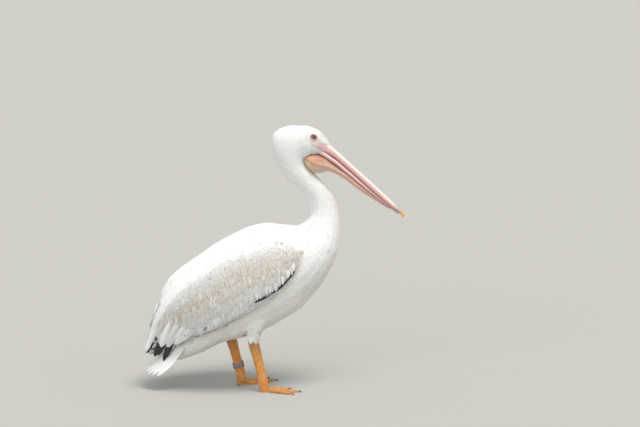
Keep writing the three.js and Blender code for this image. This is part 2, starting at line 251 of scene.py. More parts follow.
def along_keel(points):
    """How far along the keel line each point lies, in millimetres, and its turn round it."""
    points = np.asarray(points, float)
    i = np.zeros(len(points), int)
    batch = 4000
    for start in range(0, len(points), batch):
        part = points[start:start + batch]
        gaps = (part[:, None, 0] - keel[None, :, 0]) ** 2 + (part[:, None, 2] - keel[None, :, 1]) ** 2
        i[start:start + batch] = gaps.argmin(axis=1)
    off_x = points[:, 0] - keel[i, 0]
    off_z = points[:, 2] - keel[i, 1]
    above = off_x * keel_steps[i, 1] - off_z * keel_steps[i, 0]
    return keel_reach[i], np.arctan2(points[:, 1], above)


# ---------------------------------------------------------------- skin
# One skin over head, neck, trunk, wings, thighs, shanks, feet and pouch. It lies inside the
# feathers by their depth, and is bare on the face, the pouch and the legs. The fine parts are
# meshed finely, the rest coarsely, and all are united.
BARE_FACE = (
    (107, 789), (110, 797), (117, 801), (129, 798.5), (140, 789), (154, 777.5), (168, 768), (184, 754),
    (176, 742), (163, 740), (150, 749), (136, 760), (122, 767.5), (111, 777),
)


def inside(points, outline):
    """Which points lie inside an outline on the bird's side view."""
    x, z = points[:, 0], points[:, 2]
    found = np.zeros(len(points), bool)
    ring = np.asarray(outline, float)
    for (x0, z0), (x1, z1) in zip(ring, np.roll(ring, -1, axis=0)):
        if z0 == z1:
            continue
        crosses = (z0 > z) != (z1 > z)
        found ^= crosses & (x < x0 + (z - z0) * (x1 - x0) / (z1 - z0))
    return found


def edge_gap(points, outline):
    """How far each point lies from an outline on the bird's side view, in millimetres."""
    best = np.full(len(points), 1e9)
    flat = points[:, (0, 2)]
    ring = np.asarray(outline, float)
    for a, b in zip(ring, np.roll(ring, -1, axis=0)):
        f = np.clip(((flat - a) @ (b - a)) / ((b - a) @ (b - a)), 0, 1)
        best = np.minimum(best, np.linalg.norm(flat - a - f[:, None] * (b - a), axis=1))
    return best


COAT_DEPTH = (
    (0, 1.4), (110, 1.6), (170, 2.0), (300, 2.5), (420, 3.4), (560, 4.8), (1050, 5.8), (1200, 4.2),
)
HEAD_FROM = 690
HEAD_EXTRA = 3.0
THIN_SHARE = 0.36
FACE_DEPTH = 0.2
HEAD_DEPTH = 1.2


def coat_depth(points):
    """How deep the feathers are at each point, in millimetres."""
    reach, _ = along_keel(points)
    return np.interp(reach, *zip(*COAT_DEPTH))


body_skin = coat_form.copy()
body_skin.data = coat_form.data.copy()
bpy.context.collection.objects.link(body_skin)
# The coarse skin keeps clear of the head, which has a finer one of its own, and thin places are
# drawn in by no more than a share of what lies behind them.
drawn_in = coat_depth(form_spots) + np.where(form_spots[:, 2] > HEAD_FROM, HEAD_EXTRA, 0.0)
for i, (spot, turn) in enumerate(zip(form_spots.tolist(), form_turns)):
    start = Vector(spot) - Vector(turn) * 0.05
    hit = form_tree.ray_cast(start, -Vector(turn))
    if hit[0] is not None:
        drawn_in[i] = min(drawn_in[i], THIN_SHARE * hit[3])
set_corners(body_skin, form_spots - form_turns * drawn_in[:, None])
fuse(body_skin, voxel=0.0066, passes=3)


def eye_gap(points):
    """How far each point lies from the middle of the eye on its side, in millimetres."""
    return np.linalg.norm(np.abs(points) - EYE_PLACE, axis=1)


head_skin = joined_copy("head_skin", ["head"], swell=0.0003)
fuse(head_skin, voxel=0.0021, passes=2)
spots, turns = corners(head_skin)
beside_eye = eye_gap(spots)
bare = inside(spots, BARE_FACE) * np.clip(edge_gap(spots, BARE_FACE) / 3, 0, 1)
bare = np.maximum(bare, np.clip((17.5 - beside_eye) / 4, 0, 1))
# The skin round the eye is a little swollen, up to the lids.
swollen = 1.7 * np.exp(-(((beside_eye - 10.0) / 3.4) ** 2))
set_corners(head_skin, spots + turns * (swollen - FACE_DEPTH - HEAD_DEPTH * (1 - bare))[:, None])

# The bill's own axes: along runs from the culmen's base to the tip, rise is square to it.
BILL_BASE = np.array((172.0, 770.0))
BILL_FORWARD = np.array((0.7314, -0.6820))
BILL_UP = np.array((0.6820, 0.7314))


def in_bill(points):
    """How far along the bill and how far above its base line each point lies."""
    flat = np.asarray(points, float)[:, (0, 2)] - BILL_BASE
    return flat @ BILL_FORWARD, flat @ BILL_UP


POUCH = (
    (-31, -90, 12, 26), (-13, -80, 24, 34), (6, -74, 31, 36), (20, -67, 30, 34), (36, -57, 24, 28),
    (56, -48, 13.5, 23), (100, -39, 10, 18.5), (150, -35, 9, 16), (207, -28.5, 7, 12.5),
    (250, -21.5, 5.5, 9.5), (285, -16.5, 3.5, 6.5),
)
pouch_line = smooth_line(POUCH, np.linspace(0, 1, 160)).T


def in_pouch(points):
    """How far along the bill each point lies, and its level in the pouch: 1 at the jaw, -1 below."""
    forward, rise = in_bill(points)
    middle = np.interp(forward, pouch_line[0], pouch_line[1])
    return forward, np.clip((rise - middle) / np.interp(forward, pouch_line[0], pouch_line[2]), -1, 1)


pouch_skin = joined_copy("pouch_skin", ["pouch"], swell=0.0003)
fuse(pouch_skin, voxel=0.0020, passes=3)
spots, turns = corners(pouch_skin)
forward, level = in_pouch(spots)
# Slack skin hangs in long shallow folds that run with the jaw, and bunches at the throat.
slack = np.clip(1 - (forward + 30) / 260, 0, 1) * np.clip(1 - level**2, 0, 1)
fold = np.sin(level * 9.5 + forward * 0.018 + np.sin(forward * 0.045) * 0.9)
bunch = np.sin(forward * 0.42 + level * 2.2 + np.sin(level * 5) * 0.6)
bunch *= np.clip(1 - (forward + 31) / 34, 0, 1)
spots += turns * (slack * fold * 0.8 + bunch * 0.7)[:, None]
tucked = np.clip(level - 0.2, 0, 1) * np.clip(forward / 30, 0, 1) * 2.4
spots[:, (0, 2)] += BILL_UP * tucked[:, None]
set_corners(pouch_skin, spots)

# The shanks and feet, with a knuckle at each joint of the toes. A heel has its place and the turn
# of its foot, and a toe its length and how far it is spread, in degrees.
HEELS = {"right": (-28, -60, 6), "left": (-102, 58, -13)}
TOES = ((92, 21), (104, 0), (76, -24), (37, -118))
SHANK_CORE = 0.0088
leg_skins = []
knuckles = []
for side, (heel_x, heel_y, turned) in HEELS.items():
    leg_skin = joined_copy("leg_skin", [f"tarsus_{side}", f"foot_{side}"], swell=0.0003)
    shank = np.array([v.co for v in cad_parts[f"tarsus_{side}"].data.vertices])
    top = Vector(shank[shank[:, 2] > shank[:, 2].max() - 0.004].mean(axis=0))
    thigh = (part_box(f"thigh_{side}")[1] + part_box(f"thigh_{side}")[0]) / 2
    bpy.ops.mesh.primitive_cylinder_add(
        vertices=20, radius=SHANK_CORE, depth=(thigh - top).length + 0.004, location=(thigh + top) / 2,
        rotation=(thigh - top).to_track_quat("Z", "X").to_euler(),
    )
    core = bpy.context.object
    bpy.ops.object.transform_apply(location=True, rotation=True, scale=True)
    leg_skin = gather("leg_skin", [leg_skin, core])
    fuse(leg_skin, voxel=0.00138, passes=2)
    spots, turns = corners(leg_skin)
    swell = np.zeros(len(spots))
    inward = 1 if side == "right" else -1
    for length, splay in TOES:
        angle = math.radians(turned - splay * inward)
        way = np.array((math.cos(angle), math.sin(angle)))
        for share in (0.34, 0.6, 0.82) if length > 50 else (0.5,):
            joint = np.array((heel_x, heel_y)) + way * length * share
            knuckles.append(joint)
            gap = np.linalg.norm(spots[:, :2] - joint, axis=1)
            swell += np.exp(-((gap / 5.5) ** 2)) * 0.8 * (spots[:, 2] > 1.2)
    set_corners(leg_skin, spots + turns * swell[:, None] * (turns[:, 2:3] > -0.3))
    leg_skins.append(leg_skin)

# The lids are a ring of skin round each eye, longer than high and slanting down towards the bill,
# on a broader low ring that runs out into the face. Each ring: how far out it lies, its radius
# and thickness in metres, and how long and how high it is drawn.
LID_RINGS = (("lid", 6.9, 0.0078, 0.0019, 1.13, 0.88), ("orbit", 4.9, 0.0089, 0.0025, 1.06, 0.95))
LID_SLANT = math.radians(28)
gazes = []
eye_rings = []
lid_spots = []
spots, turns = corners(head_skin)
for side in (-1, 1):
    middle = EYE_PLACE * (1, side, 1)
    gaps = np.linalg.norm(spots - middle, axis=1)
    gaze = turns[(gaps > 12) & (gaps < 18) & (spots[:, 1] * side > 20)].mean(axis=0)
    gaze = unit(gaze)
    gazes.append((middle, gaze))
    for name, out, major, minor, long, high in LID_RINGS:
        bpy.ops.mesh.primitive_torus_add(
            major_segments=44, minor_segments=14, major_radius=major, minor_radius=minor,
        )
        ring = bpy.context.object
        ring.name = name
        ring.scale = (long, high, 1)
        ring.rotation_euler = (0, 0, side * LID_SLANT)
        bpy.ops.object.transform_apply(location=False, rotation=True, scale=True)
        ring.rotation_euler = Vector(gaze).to_track_quat("Z", "Y").to_euler()
        ring.location = metres(middle + gaze * out)
        bpy.ops.object.transform_apply(location=True, rotation=True, scale=True)
        eye_rings.append(ring)
        if name == "lid":
            lid_spots.extend(corners(ring)[0].tolist())


def finder(points):
    """A tree that finds which of some points is nearest."""
    tree = KDTree(len(points))
    for i, point in enumerate(points):
        tree.insert(point, i)
    tree.balance()
    return tree


def combine(whole, other, operation="UNION"):
    """Adds one closed shape to another, or takes it away, and leaves no surface inside."""
    only(whole)
    change = whole.modifiers.new("change", "BOOLEAN")
    change.operation = operation
    change.solver = "MANIFOLD"
    change.object = other
    bpy.ops.object.modifier_apply(modifier="change")
    bpy.data.objects.remove(other)


skin = body_skin
skin.name = "skin"
for extra in (head_skin, pouch_skin, *leg_skins, *eye_rings):
    combine(skin, extra)

# What each part of the skin is: 0 feathered, 1 the bare face, 2 the pouch, 3 the legs and feet.
skin_spots, _ = corners(skin)
count = len(skin.data.polygons)
middles = np.zeros(count * 3, np.float32)
skin.data.polygons.foreach_get("center", middles)
middles = grid(middles.reshape(-1, 3))
kind = np.zeros(count, np.int32)
kind[inside(middles, BARE_FACE)] = 1
kind[eye_gap(middles) < 13.5] = 1


def near(points, node, margin):
    """Which points lie in a CAD node's box or within a margin of it, in millimetres."""
    low, high = (grid(corner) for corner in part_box(node))
    return np.flatnonzero(np.all((points > low - margin) & (points < high + margin), axis=1))


near_pouch = near(middles, "pouch", 3)
kind[near_pouch[nearest_part(middles[near_pouch], ["pouch", "head", "neck_upper"]) == 0]] = 2
kind[middles[:, 2] < 162] = 3
kind[(middles[:, 2] < 166) & (np.abs(middles[:, 0] + 95) < 60) & (np.abs(middles[:, 1]) < 75)] = 3
kind[(middles[:, 2] > 80) & (middles[:, 0] < -175)] = 0
only(skin)
bpy.ops.object.shade_smooth()


def carry(thing, name, values):
    """Stores a number for each point of a mesh, for its material to read."""
    layer = thing.data.attributes.new(name, "FLOAT", "POINT")
    layer.data.foreach_set("value", np.asarray(values, np.float32))


forward, level = in_pouch(skin_spots)
lid_finder = finder(lid_spots)
lid_gap = [lid_finder.find(spot)[2] for spot in skin_spots.tolist()]
joints = np.zeros(len(skin_spots))
for x, y in knuckles:
    gap = (skin_spots[:, 0] - x) ** 2 + (skin_spots[:, 1] - y) ** 2
    joints = np.maximum(joints, np.exp(-(gap / 45)))
carry(skin, "level", level)
carry(skin, "forward", forward / 300)
carry(skin, "lid_gap", np.array(lid_gap) / 10)
carry(skin, "joint", np.where(skin_spots[:, 2] < 30, joints, 0))

# Marks, painted shade and painted warm light that skin and feathers share, as functions of place on the
# bird.
COVERT_TOP = (
    (98, 459), (73, 474), (30, 485), (-26, 478), (-73, 463), (-126, 444), (-181, 412), (-234, 374),
    (-290, 329), (-335, 278), (-364, 218),
)
WING_EDGE = (
    (92, 427), (72, 398), (52, 374), (20, 343), (-23, 315), (-64, 293), (-104, 268), (-150, 240),
    (-197, 210), (-243, 185), (-268, 172), (-300, 150), (-327, 137), (-352, 128), (-392, 114),
)


def wing_level(points):
    """0 at the top edge of the wing's coverts, 1 at the wing's lower edge."""
    top, low = (
        np.interp(-points[:, 0], [-x for x, _ in line], [z for _, z in line])
        for line in (COVERT_TOP, WING_EDGE)
    )
    return (top - points[:, 2]) / np.maximum(top - low, 12)


def on_wing_face(points, level, top):
    """Which points lie on the outer face of a folded wing, from a level near its top edge down."""
    return (level > top) & (level < 1.1) & (np.abs(points[:, 1]) > 25) & (points[:, 0] < 98)


def tan_and_warm_light_mark(points):
    """Buff staining in a band across the wing coverts and along their front edge; underneath, a warm tinge
    of painted light bounced up from below.
    """
    level = wing_level(points)
    x = points[:, 0]
    band = np.exp(-(((level - 0.38 - 0.05 * np.sin(x / 37)) / 0.22) ** 2))
    band *= np.interp(x, (-330, -240, 60, 100), (0, 0.85, 0.85, 0.6))
    front = np.exp(-(((x - 80) / 26) ** 2)) * np.clip((level - 0.05) / 0.3, 0, 1) * (level < 1.2) * 0.5
    # Painted warm light, bounced up from below onto the belly and breast.
    under = np.interp(points[:, 2], (120, 300), (0.24, 0.0)) * (x < 160)
    under += np.interp(points[:, 2], (300, 520), (0.10, 0))
    return np.where(on_wing_face(points, level, -0.15), np.maximum(band, front), under)


def grey_and_shade_mark(points):
    """A cool grey: partly the wing's long feathers' own tone, partly painted shade; painted shade on neck
    and head, faint on the breast.
    """
    level = wing_level(points)
    # On the wing, the feathers' own greyish tone with painted shade among them.
    wing = np.interp(level, (0.0, 0.12, 0.5, 1.0), (0.35, 0.8, 0.7, 0.7))
    # Painted shade on the neck and head, which tones down their lit white; next to none on the breast.
    body = np.interp(points[:, 2], (0, 500, 560, 620, 740, 800), (0.02, 0.02, 0.08, 0.32, 0.28, 0.15))
    return np.where(on_wing_face(points, level, 0.0), wing, body)


# The skin carries the same buff, painted warm light and painted shade as the feathers, and is a little
# greyer still.
carry(skin, "tan", tan_and_warm_light_mark(skin_spots))
carry(skin, "soot", np.zeros(len(skin_spots)))
carry(skin, "grey", grey_and_shade_mark(skin_spots) + 0.15)


def material(name, roughness, **sockets):
    """A new material, its node tree and its shader, on which what is the same all over is set."""
    made = bpy.data.materials.new(name)
    made.use_nodes = True
    shader = made.node_tree.nodes["Principled BSDF"]
    shader.inputs["Roughness"].default_value = roughness
    for socket, value in sockets.items():
        shader.inputs[socket.replace("_", " ").title()].default_value = value
    return made, made.node_tree, shader


def node(tree, kind, values=None, **settings):
    """A new node of a material, with its settings and inputs."""
    made = tree.nodes.new("ShaderNode" + kind)
    for setting, value in settings.items():
        setattr(made, setting, value)
    for socket, value in (values or {}).items():
        if isinstance(value, bpy.types.NodeSocket):
            tree.links.new(value, made.inputs[socket])
        else:
            made.inputs[socket].default_value = value
    return made


def read(tree, name):
    """The numbers that a mesh carries under a name."""
    return node(tree, "Attribute", attribute_name=name).outputs["Fac"]


def sums(tree, operation, first, second=0.0, clamp=False):
    """The result of a sum with one or two values."""
    return node(tree, "Math", {0: first, 1: second}, operation=operation, use_clamp=clamp).outputs[0]


def span(tree, value, low, high, to_low=0.0, to_high=1.0):
    """A value stretched so that low to high becomes to_low to to_high, and held there."""
    values = {"Value": value, "From Min": low, "From Max": high, "To Min": to_low, "To Max": to_high}
    return node(tree, "MapRange", values, interpolation_type="SMOOTHSTEP").outputs["Result"]


def between(tree, share, first, second, blend="MIX"):
    """One colour turning into another by a share."""
    made = node(tree, "Mix", data_type="RGBA", blend_type=blend)
    for socket, value in ((made.inputs[0], share), (made.inputs[6], first), (made.inputs[7], second)):
        if isinstance(value, bpy.types.NodeSocket):
            tree.links.new(value, socket)
        else:
            socket.default_value = value if isinstance(value, float) else (*value, 1)
    return made.outputs[2]


def place_in(tree):
    """Where each point lies on the object, in metres."""
    return node(tree, "TexCoord").outputs["Object"]


def noise(tree, size, detail=3.0, stretch=(1, 1, 1), where=None):
    """Cloudy variation, size millimetres across."""
    if where is None:
        where = place_in(tree)
    scaled = node(tree, "Mapping", {"Vector": where, "Scale": stretch}).outputs["Vector"]
    values = {"Vector": scaled, "Scale": 1000 / size, "Detail": detail}
    return node(tree, "TexNoise", values).outputs["Fac"]


def dress(tree, shader, tone, height=None, distance=0.0):
    """Gives a shader its colour, and relief from a height pattern, distance metres high."""
    tree.links.new(tone, shader.inputs["Base Color"])
    if height is not None:
        bump = node(tree, "Bump", {"Height": height, "Distance": distance, "Strength": 1.0})
        tree.links.new(bump.outputs["Normal"], shader.inputs["Normal"])


def group_of(name, given, made):
    """A new node group, with what it is given and what it makes, each a value or a colour."""
    tree = bpy.data.node_groups.new(name, "ShaderNodeTree")
    for way, sockets in (("INPUT", given), ("OUTPUT", made)):
        for socket in sockets:
            kind = "NodeSocketColor" if socket == "Colour" else "NodeSocketFloat"
            tree.interface.new_socket(socket, in_out=way, socket_type=kind)
    return tree, tree.nodes.new("NodeGroupInput").outputs, tree.nodes.new("NodeGroupOutput").inputs


plume_colour, inputs, outputs = group_of("plume_colour", ("Tan", "Soot", "Grey"), ("Colour",))
cloud = noise(plume_colour, 22)
fine = noise(plume_colour, 4)
white = between(plume_colour, cloud, (0.89, 0.885, 0.865), (0.94, 0.935, 0.92))
# Grey turns the white towards grey: the feathers' own grey and painted shade alike.
tone = between(plume_colour, inputs["Grey"], white, (0.56, 0.56, 0.555))
blotches = span(plume_colour, fine, 0.25, 0.65, 0.45, 1.0)
# Tan is buff staining and, underneath, painted warm light, blotched by fine noise.
stain_and_warm_light = sums(plume_colour, "MULTIPLY", inputs["Tan"], blotches, clamp=True)
tone = between(plume_colour, stain_and_warm_light, tone, (0.54, 0.445, 0.325))
soot = between(plume_colour, fine, (0.012, 0.011, 0.011), (0.035, 0.028, 0.024))
plume_colour.links.new(between(plume_colour, inputs["Soot"], tone, soot), outputs["Colour"])


def plume_tone(tree):
    """The shared feather colour, from the marks that a mesh carries."""
    group = tree.nodes.new("ShaderNodeGroup")
    group.node_tree = plume_colour
    for socket in ("Tan", "Soot", "Grey"):
        tree.links.new(read(tree, socket.lower()), group.inputs[socket])
    return group.outputs["Colour"]


feathered_skin, tree, shader = material("feathered_skin", 0.85)
dress(tree, shader, plume_tone(tree), noise(tree, 2.5), 0.001)

face_skin, tree, shader = material("face_skin", 0.5, coat_weight=0.08)
gap = read(tree, "lid_gap")
lilac = between(tree, noise(tree, 9), (0.60, 0.36, 0.38), (0.70, 0.46, 0.47))
# A pale patch lies behind the eye and below it.
under_eye = {"Vector": place_in(tree), "Location": (-0.1222, 0, -0.7745)}
patch = node(tree, "Mapping", under_eye).outputs["Vector"]
flat_patch = node(tree, "VectorMath", {0: patch, 1: (1, 0, 1.3)}, operation="MULTIPLY").outputs["Vector"]
patch_gap = node(tree, "VectorMath", {0: flat_patch}, operation="LENGTH").outputs["Value"]
pale = span(tree, patch_gap, 0.004, 0.015, 0.85, 0.0)
tone = between(tree, span(tree, read(tree, "forward"), -0.15, -0.05), (0.74, 0.62, 0.57), lilac)
tone = between(tree, pale, tone, (0.68, 0.60, 0.56))
rim = span(tree, gap, 0.04, 0.13, 1.0, 0.0)
tone = between(tree, rim, tone, (0.34, 0.17, 0.15))
wrinkles = sums(tree, "ADD", noise(tree, 2.2, 4.0), sums(tree, "MULTIPLY", noise(tree, 6, 2.0), 0.6))
dress(tree, shader, tone, wrinkles, 0.0008)

pouch_hide, tree, shader = material("pouch_hide", 0.48, coat_weight=0.1, coat_roughness=0.4)
forward_share = read(tree, "forward")
height_share = read(tree, "level")
tan = between(tree, noise(tree, 14, 4.0), (0.55, 0.34, 0.26), (0.66, 0.45, 0.36))
back = span(tree, forward_share, -0.02, 0.14, 1.0, 0.0)
green = between(tree, span(tree, height_share, -0.65, 0.35), (0.58, 0.49, 0.33), (0.52, 0.28, 0.19))
tone = between(tree, back, tan, green)
tone = between(tree, span(tree, height_share, 0.35, 0.85, 0.0, 0.55), tone, (0.36, 0.13, 0.07))
tone = between(tree, span(tree, height_share, -0.98, -0.72, 0.75, 0.0), tone, (0.80, 0.68, 0.44))
lines = node(tree, "CombineXYZ", {
    "X": sums(tree, "MULTIPLY", forward_share, 9.0),
    "Y": sums(tree, "MULTIPLY", height_share, 5.0),
}).outputs[0]
streaks = node(tree, "TexNoise", {"Vector": lines, "Scale": 1.0, "Detail": 5.0}).outputs["Fac"]
tone = between(tree, span(tree, streaks, 0.38, 0.62, 0.0, 0.35), tone, (0.48, 0.22, 0.14))
creases = sums(tree, "ADD", sums(tree, "MULTIPLY", streaks, 1.6), noise(tree, 3, 4.0))
dress(tree, shader, tone, creases, 0.0006)

leg_hide, tree, shader = material("leg_hide", 0.42, coat_weight=0.06)
place = place_in(tree)
pattern = {"Vector": place, "Scale": 380.0, "Randomness": 0.75}
scales = node(tree, "TexVoronoi", pattern, feature="DISTANCE_TO_EDGE")
scale_edge = span(tree, scales.outputs["Distance"], 0.02, 0.16, 1.0, 0.0)
orange = between(tree, span(tree, noise(tree, 18, 4.0), 0.35, 0.65), (0.74, 0.25, 0.04), (0.86, 0.42, 0.12))
height = node(tree, "SeparateXYZ", {0: place}).outputs["Z"]
web = span(tree, height, 0.004, 0.02, 0.65, 0.0)
tone = between(tree, web, orange, (0.80, 0.37, 0.12))
patchy = span(tree, noise(tree, 24), 0.3, 0.7, 0.45, 1.0)
ankle = sums(tree, "MULTIPLY", span(tree, height, 0.085, 0.155, 0.0, 0.8), patchy)
tone = between(tree, ankle, tone, (0.42, 0.25, 0.08))
brown = sums(tree, "MULTIPLY", span(tree, height, 0.006, 0.030, 0.55, 0.0), noise(tree, 11))
brown = sums(tree, "MAXIMUM", brown, sums(tree, "MULTIPLY", read(tree, "joint"), 0.5))
tone = between(tree, brown, tone, (0.30, 0.115, 0.04))
tone = between(tree, sums(tree, "MULTIPLY", scale_edge, 0.28), tone, (0.34, 0.13, 0.04))
dress(tree, shader, tone, sums(tree, "SUBTRACT", noise(tree, 3), scale_edge), 0.0006)

skin.data.materials.clear()
for hide in (feathered_skin, face_skin, pouch_hide, leg_hide):
    skin.data.materials.append(hide)
skin.data.polygons.foreach_set("material_index", kind)
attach(skin, "root")
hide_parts(*FEATHERED, "pouch", "tarsus_right", "tarsus_left", "foot_right", "foot_left")

# ---------------------------------------------------------------- eyes
# Two wet dark-brown eyes that fill their sockets, each a ball turned so that the pupil looks
# out along the socket. They sit in the lids, which are part of the skin.
EYE_RADIUS = 0.00985
CORNEA_FROM = 0.72
CORNEA_SPAN = 0.28
CORNEA_SWELL = 0.05
eye_glaze, tree, shader = material("eye_glaze", 0.12, coat_weight=1.0, coat_roughness=0.02)
gaze_gap = read(tree, "gaze")
iris = between(tree, noise(tree, 1.2), (0.040, 0.014, 0.009), (0.080, 0.028, 0.017))
tone = between(tree, span(tree, gaze_gap, 0.30, 0.345), (0.002, 0.002, 0.002), iris)
dress(tree, shader, between(tree, span(tree, gaze_gap, 0.62, 0.75), tone, (0.02, 0.008, 0.006)))
for (middle, gaze), side in zip(gazes, ("right", "left")):
    bpy.ops.mesh.primitive_uv_sphere_add(segments=32, ring_count=20, radius=EYE_RADIUS)
    eye = bpy.context.object
    eye.name = f"eye_ball_{side}"
    ahead = np.array([v.co.z for v in eye.data.vertices]) / EYE_RADIUS
    carry(eye, "gaze", np.arccos(np.clip(ahead, -1, 1)))
    for vertex, share in zip(eye.data.vertices, ahead):
        vertex.co *= 1 + CORNEA_SWELL * max(0, share - CORNEA_FROM) / CORNEA_SPAN
    eye.rotation_euler = Vector(gaze).to_track_quat("Z", "X").to_euler()
    eye.location = metres(middle)
    bpy.ops.object.transform_apply(location=True, rotation=True, scale=True)
    bpy.ops.object.shade_smooth()
    eye.data.materials.append(eye_glaze)
    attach(eye, "root")
    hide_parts(f"eye_{side}")

# ---------------------------------------------------------------- bill
# Two long horn blades round a bony core, each a cylinder drawn out ring by ring. The upper one
# is a flat broad ridge with a groove along each side above its cutting edge, and closes over
# the two slim rails of the lower one. The amber nail hooks down over the tip.
UPPER_BILL = (
    (-40, -23, 19, 18), (-20, -20, 18.5, 19.5), (-4, -17, 17, 20.5), (30, -11, 11.5, 21), (70, -9.3, 10, 20),
    (110, -8.5, 9.5, 18.5), (150, -8, 9.5, 17.7), (190, -7.5, 9.5, 17.5), (230, -6.8, 8.6, 17.9),
    (262, -6, 7.5, 18), (288, -5.6, 6.3, 15.5), (303, -5.5, 5.2, 12), (310, -5.6, 3.6, 8),
)
LOWER_BILL = (
    (-26, -48, 7.5, 20.5), (-8, -40, 8.3, 21.6), (12, -34, 8.5, 22), (50, -28, 8, 21.5), (80, -26, 7.4, 20),
    (110, -24.5, 6.8, 18.5), (150, -23, 5.8, 17), (190, -21.5, 4.8, 15.5), (230, -19, 4, 14),
    (262, -16.5, 3.2, 12.5), (290, -14.2, 2.5, 9.5), (306, -12.8, 1.8, 6),
)
NAIL = (
    (294, -2.6, 2.0, 4.4), (303, -3.2, 4.0, 7.4), (311, -4.0, 5.0, 7.9), (318, -5.8, 5.0, 7.0),
    (323, -9, 3.8, 5.2), (325, -12.5, 2.8, 3.8), (325, -15.6, 1.6, 2.2),
)
# Each section runs from the top of the ridge round one side to the middle underneath: how far
# round in degrees, and how far out as a share of the full oval.
UPPER_SECTION = (
    (0, 0.97), (20, 0.97), (38, 1.0), (58, 0.99), (76, 1.0), (92, 1.01), (103, 1.05), (109, 1.07),
    (115, 1.03), (121, 1.07), (128, 1.10), (138, 1.06), (155, 1.0), (180, 1.0),
)
LOWER_SECTION = (
    (0, 1.12), (35, 1.06), (50, 1.03), (64, 1.02), (74, 0.965), (90, 1.0), (110, 1.0), (128, 0.98),
    (150, 1.0), (180, 1.0),
)
PLAIN_SECTION = ((0, 1.0), (180, 1.0))


def blade(name, stations, section, rings, around, power):
    """A cylinder whose rings are drawn to the bill's stations and to the section's ridges and grooves.

    power says how square the oval is: 2 is round.
    """
    bpy.ops.object.select_all(action="DESELECT")
    bpy.ops.mesh.primitive_cylinder_add(vertices=around, radius=1, depth=1, end_fill_type="TRIFAN")
    made = bpy.context.object
    made.name = name
    bpy.ops.object.mode_set(mode="EDIT")
    bpy.ops.mesh.select_mode(type="EDGE")
    bpy.ops.mesh.select_all(action="DESELECT")
    bpy.ops.object.mode_set(mode="OBJECT")
    mesh = made.data
    for edge in mesh.edges:
        a, b = (mesh.vertices[i].co for i in edge.vertices)
        edge.select = abs(a.z - b.z) > 0.5
    bpy.ops.object.mode_set(mode="EDIT")
    bpy.ops.mesh.subdivide(number_cuts=rings - 1)
    bpy.ops.object.mode_set(mode="OBJECT")
    spots = np.array([v.co for v in mesh.vertices])
    forward, rise, tall, wide = smooth_line(stations, 0.5 - spots[:, 2]).T
    turn = np.arctan2(np.abs(spots[:, 1]), spots[:, 0])
    out = np.interp(np.degrees(turn), *zip(*section)) * (np.hypot(spots[:, 0], spots[:, 1]) > 0.5)
    up = np.sign(np.cos(turn)) * np.abs(np.cos(turn)) ** (2 / power) * out * tall
    side = np.sign(spots[:, 1]) * np.abs(np.sin(turn)) ** (2 / power) * out * wide
    flat = BILL_BASE + BILL_FORWARD * forward[:, None] + BILL_UP * (rise + up)[:, None]
    set_corners(made, np.column_stack((flat[:, 0], side, flat[:, 1])))
    carry(made, "girth", turn / math.pi)
    carry(made, "share", forward / 310)
    only(made)
    bpy.ops.object.mode_set(mode="EDIT")
    bpy.ops.mesh.select_all(action="SELECT")
    bpy.ops.mesh.normals_make_consistent(inside=False)
    bpy.ops.object.mode_set(mode="OBJECT")
    bpy.ops.object.shade_smooth()
    return made


def grain(tree, size, slope):
    """Fine streaks along the horn, which slopes down by some degrees."""
    values = {"Vector": place_in(tree), "Rotation": (0, math.radians(slope), 0)}
    turned = node(tree, "Mapping", values).outputs["Vector"]
    return noise(tree, size, 4.0, (0.06, 1, 1), turned)


upper_horn, tree, shader = material("upper_horn", 0.34, coat_weight=0.15, coat_roughness=0.25)
girth = read(tree, "girth")
share = read(tree, "share")
streak = grain(tree, 5, 43)
# The ridge is pale pink-white, made paler still by a painted highlight where the light falls on top.
ridge = between(tree, streak, (0.84, 0.73, 0.69), (0.90, 0.81, 0.77))
flank = between(tree, streak, (0.64, 0.34, 0.31), (0.73, 0.44, 0.40))
tone = between(tree, span(tree, girth, 0.29, 0.46), ridge, flank)
groove = sums(
    tree, "MULTIPLY", span(tree, girth, 0.605, 0.625), span(tree, girth, 0.65, 0.68, 1.0, 0.0),
)
tone = between(tree, groove, tone, (0.48, 0.17, 0.15))
tone = between(tree, span(tree, share, 0.86, 0.955, 0.0, 0.65), tone, (0.40, 0.33, 0.30))
tone = between(tree, span(tree, share, -0.02, 0.12, 0.35, 0.0), tone, (0.72, 0.45, 0.44))
dress(tree, shader, tone, sums(tree, "ADD", streak, noise(tree, 1.6)), 0.00035)

lower_horn, tree, shader = material("lower_horn", 0.36, coat_weight=0.12, coat_roughness=0.25)
girth = read(tree, "girth")
streak = grain(tree, 4, 40)
mauve = between(tree, streak, (0.56, 0.33, 0.34), (0.70, 0.47, 0.48))
# A painted highlight: a pale band along the top edge of each rail, where the light falls.
edge = sums(tree, "MULTIPLY", span(tree, girth, 0.26, 0.32), span(tree, girth, 0.39, 0.45, 1.0, 0.0))
tone = between(tree, edge, mauve, (0.86, 0.70, 0.66))
tone = between(tree, span(tree, girth, 0.56, 0.68, 0.0, 0.8), tone, (0.42, 0.19, 0.16))
dress(tree, shader, tone, sums(tree, "ADD", streak, noise(tree, 1.6)), 0.00035)

nail_horn, tree, shader = material("nail_horn", 0.3, coat_weight=0.2, coat_roughness=0.2)
share = read(tree, "share")
amber = between(tree, noise(tree, 3), (0.80, 0.36, 0.04), (0.86, 0.48, 0.09))
tone = between(tree, span(tree, share, 0.975, 1.01, 0.8, 0.0), amber, (0.42, 0.32, 0.27))
dress(tree, shader, tone, noise(tree, 1.2), 0.0003)

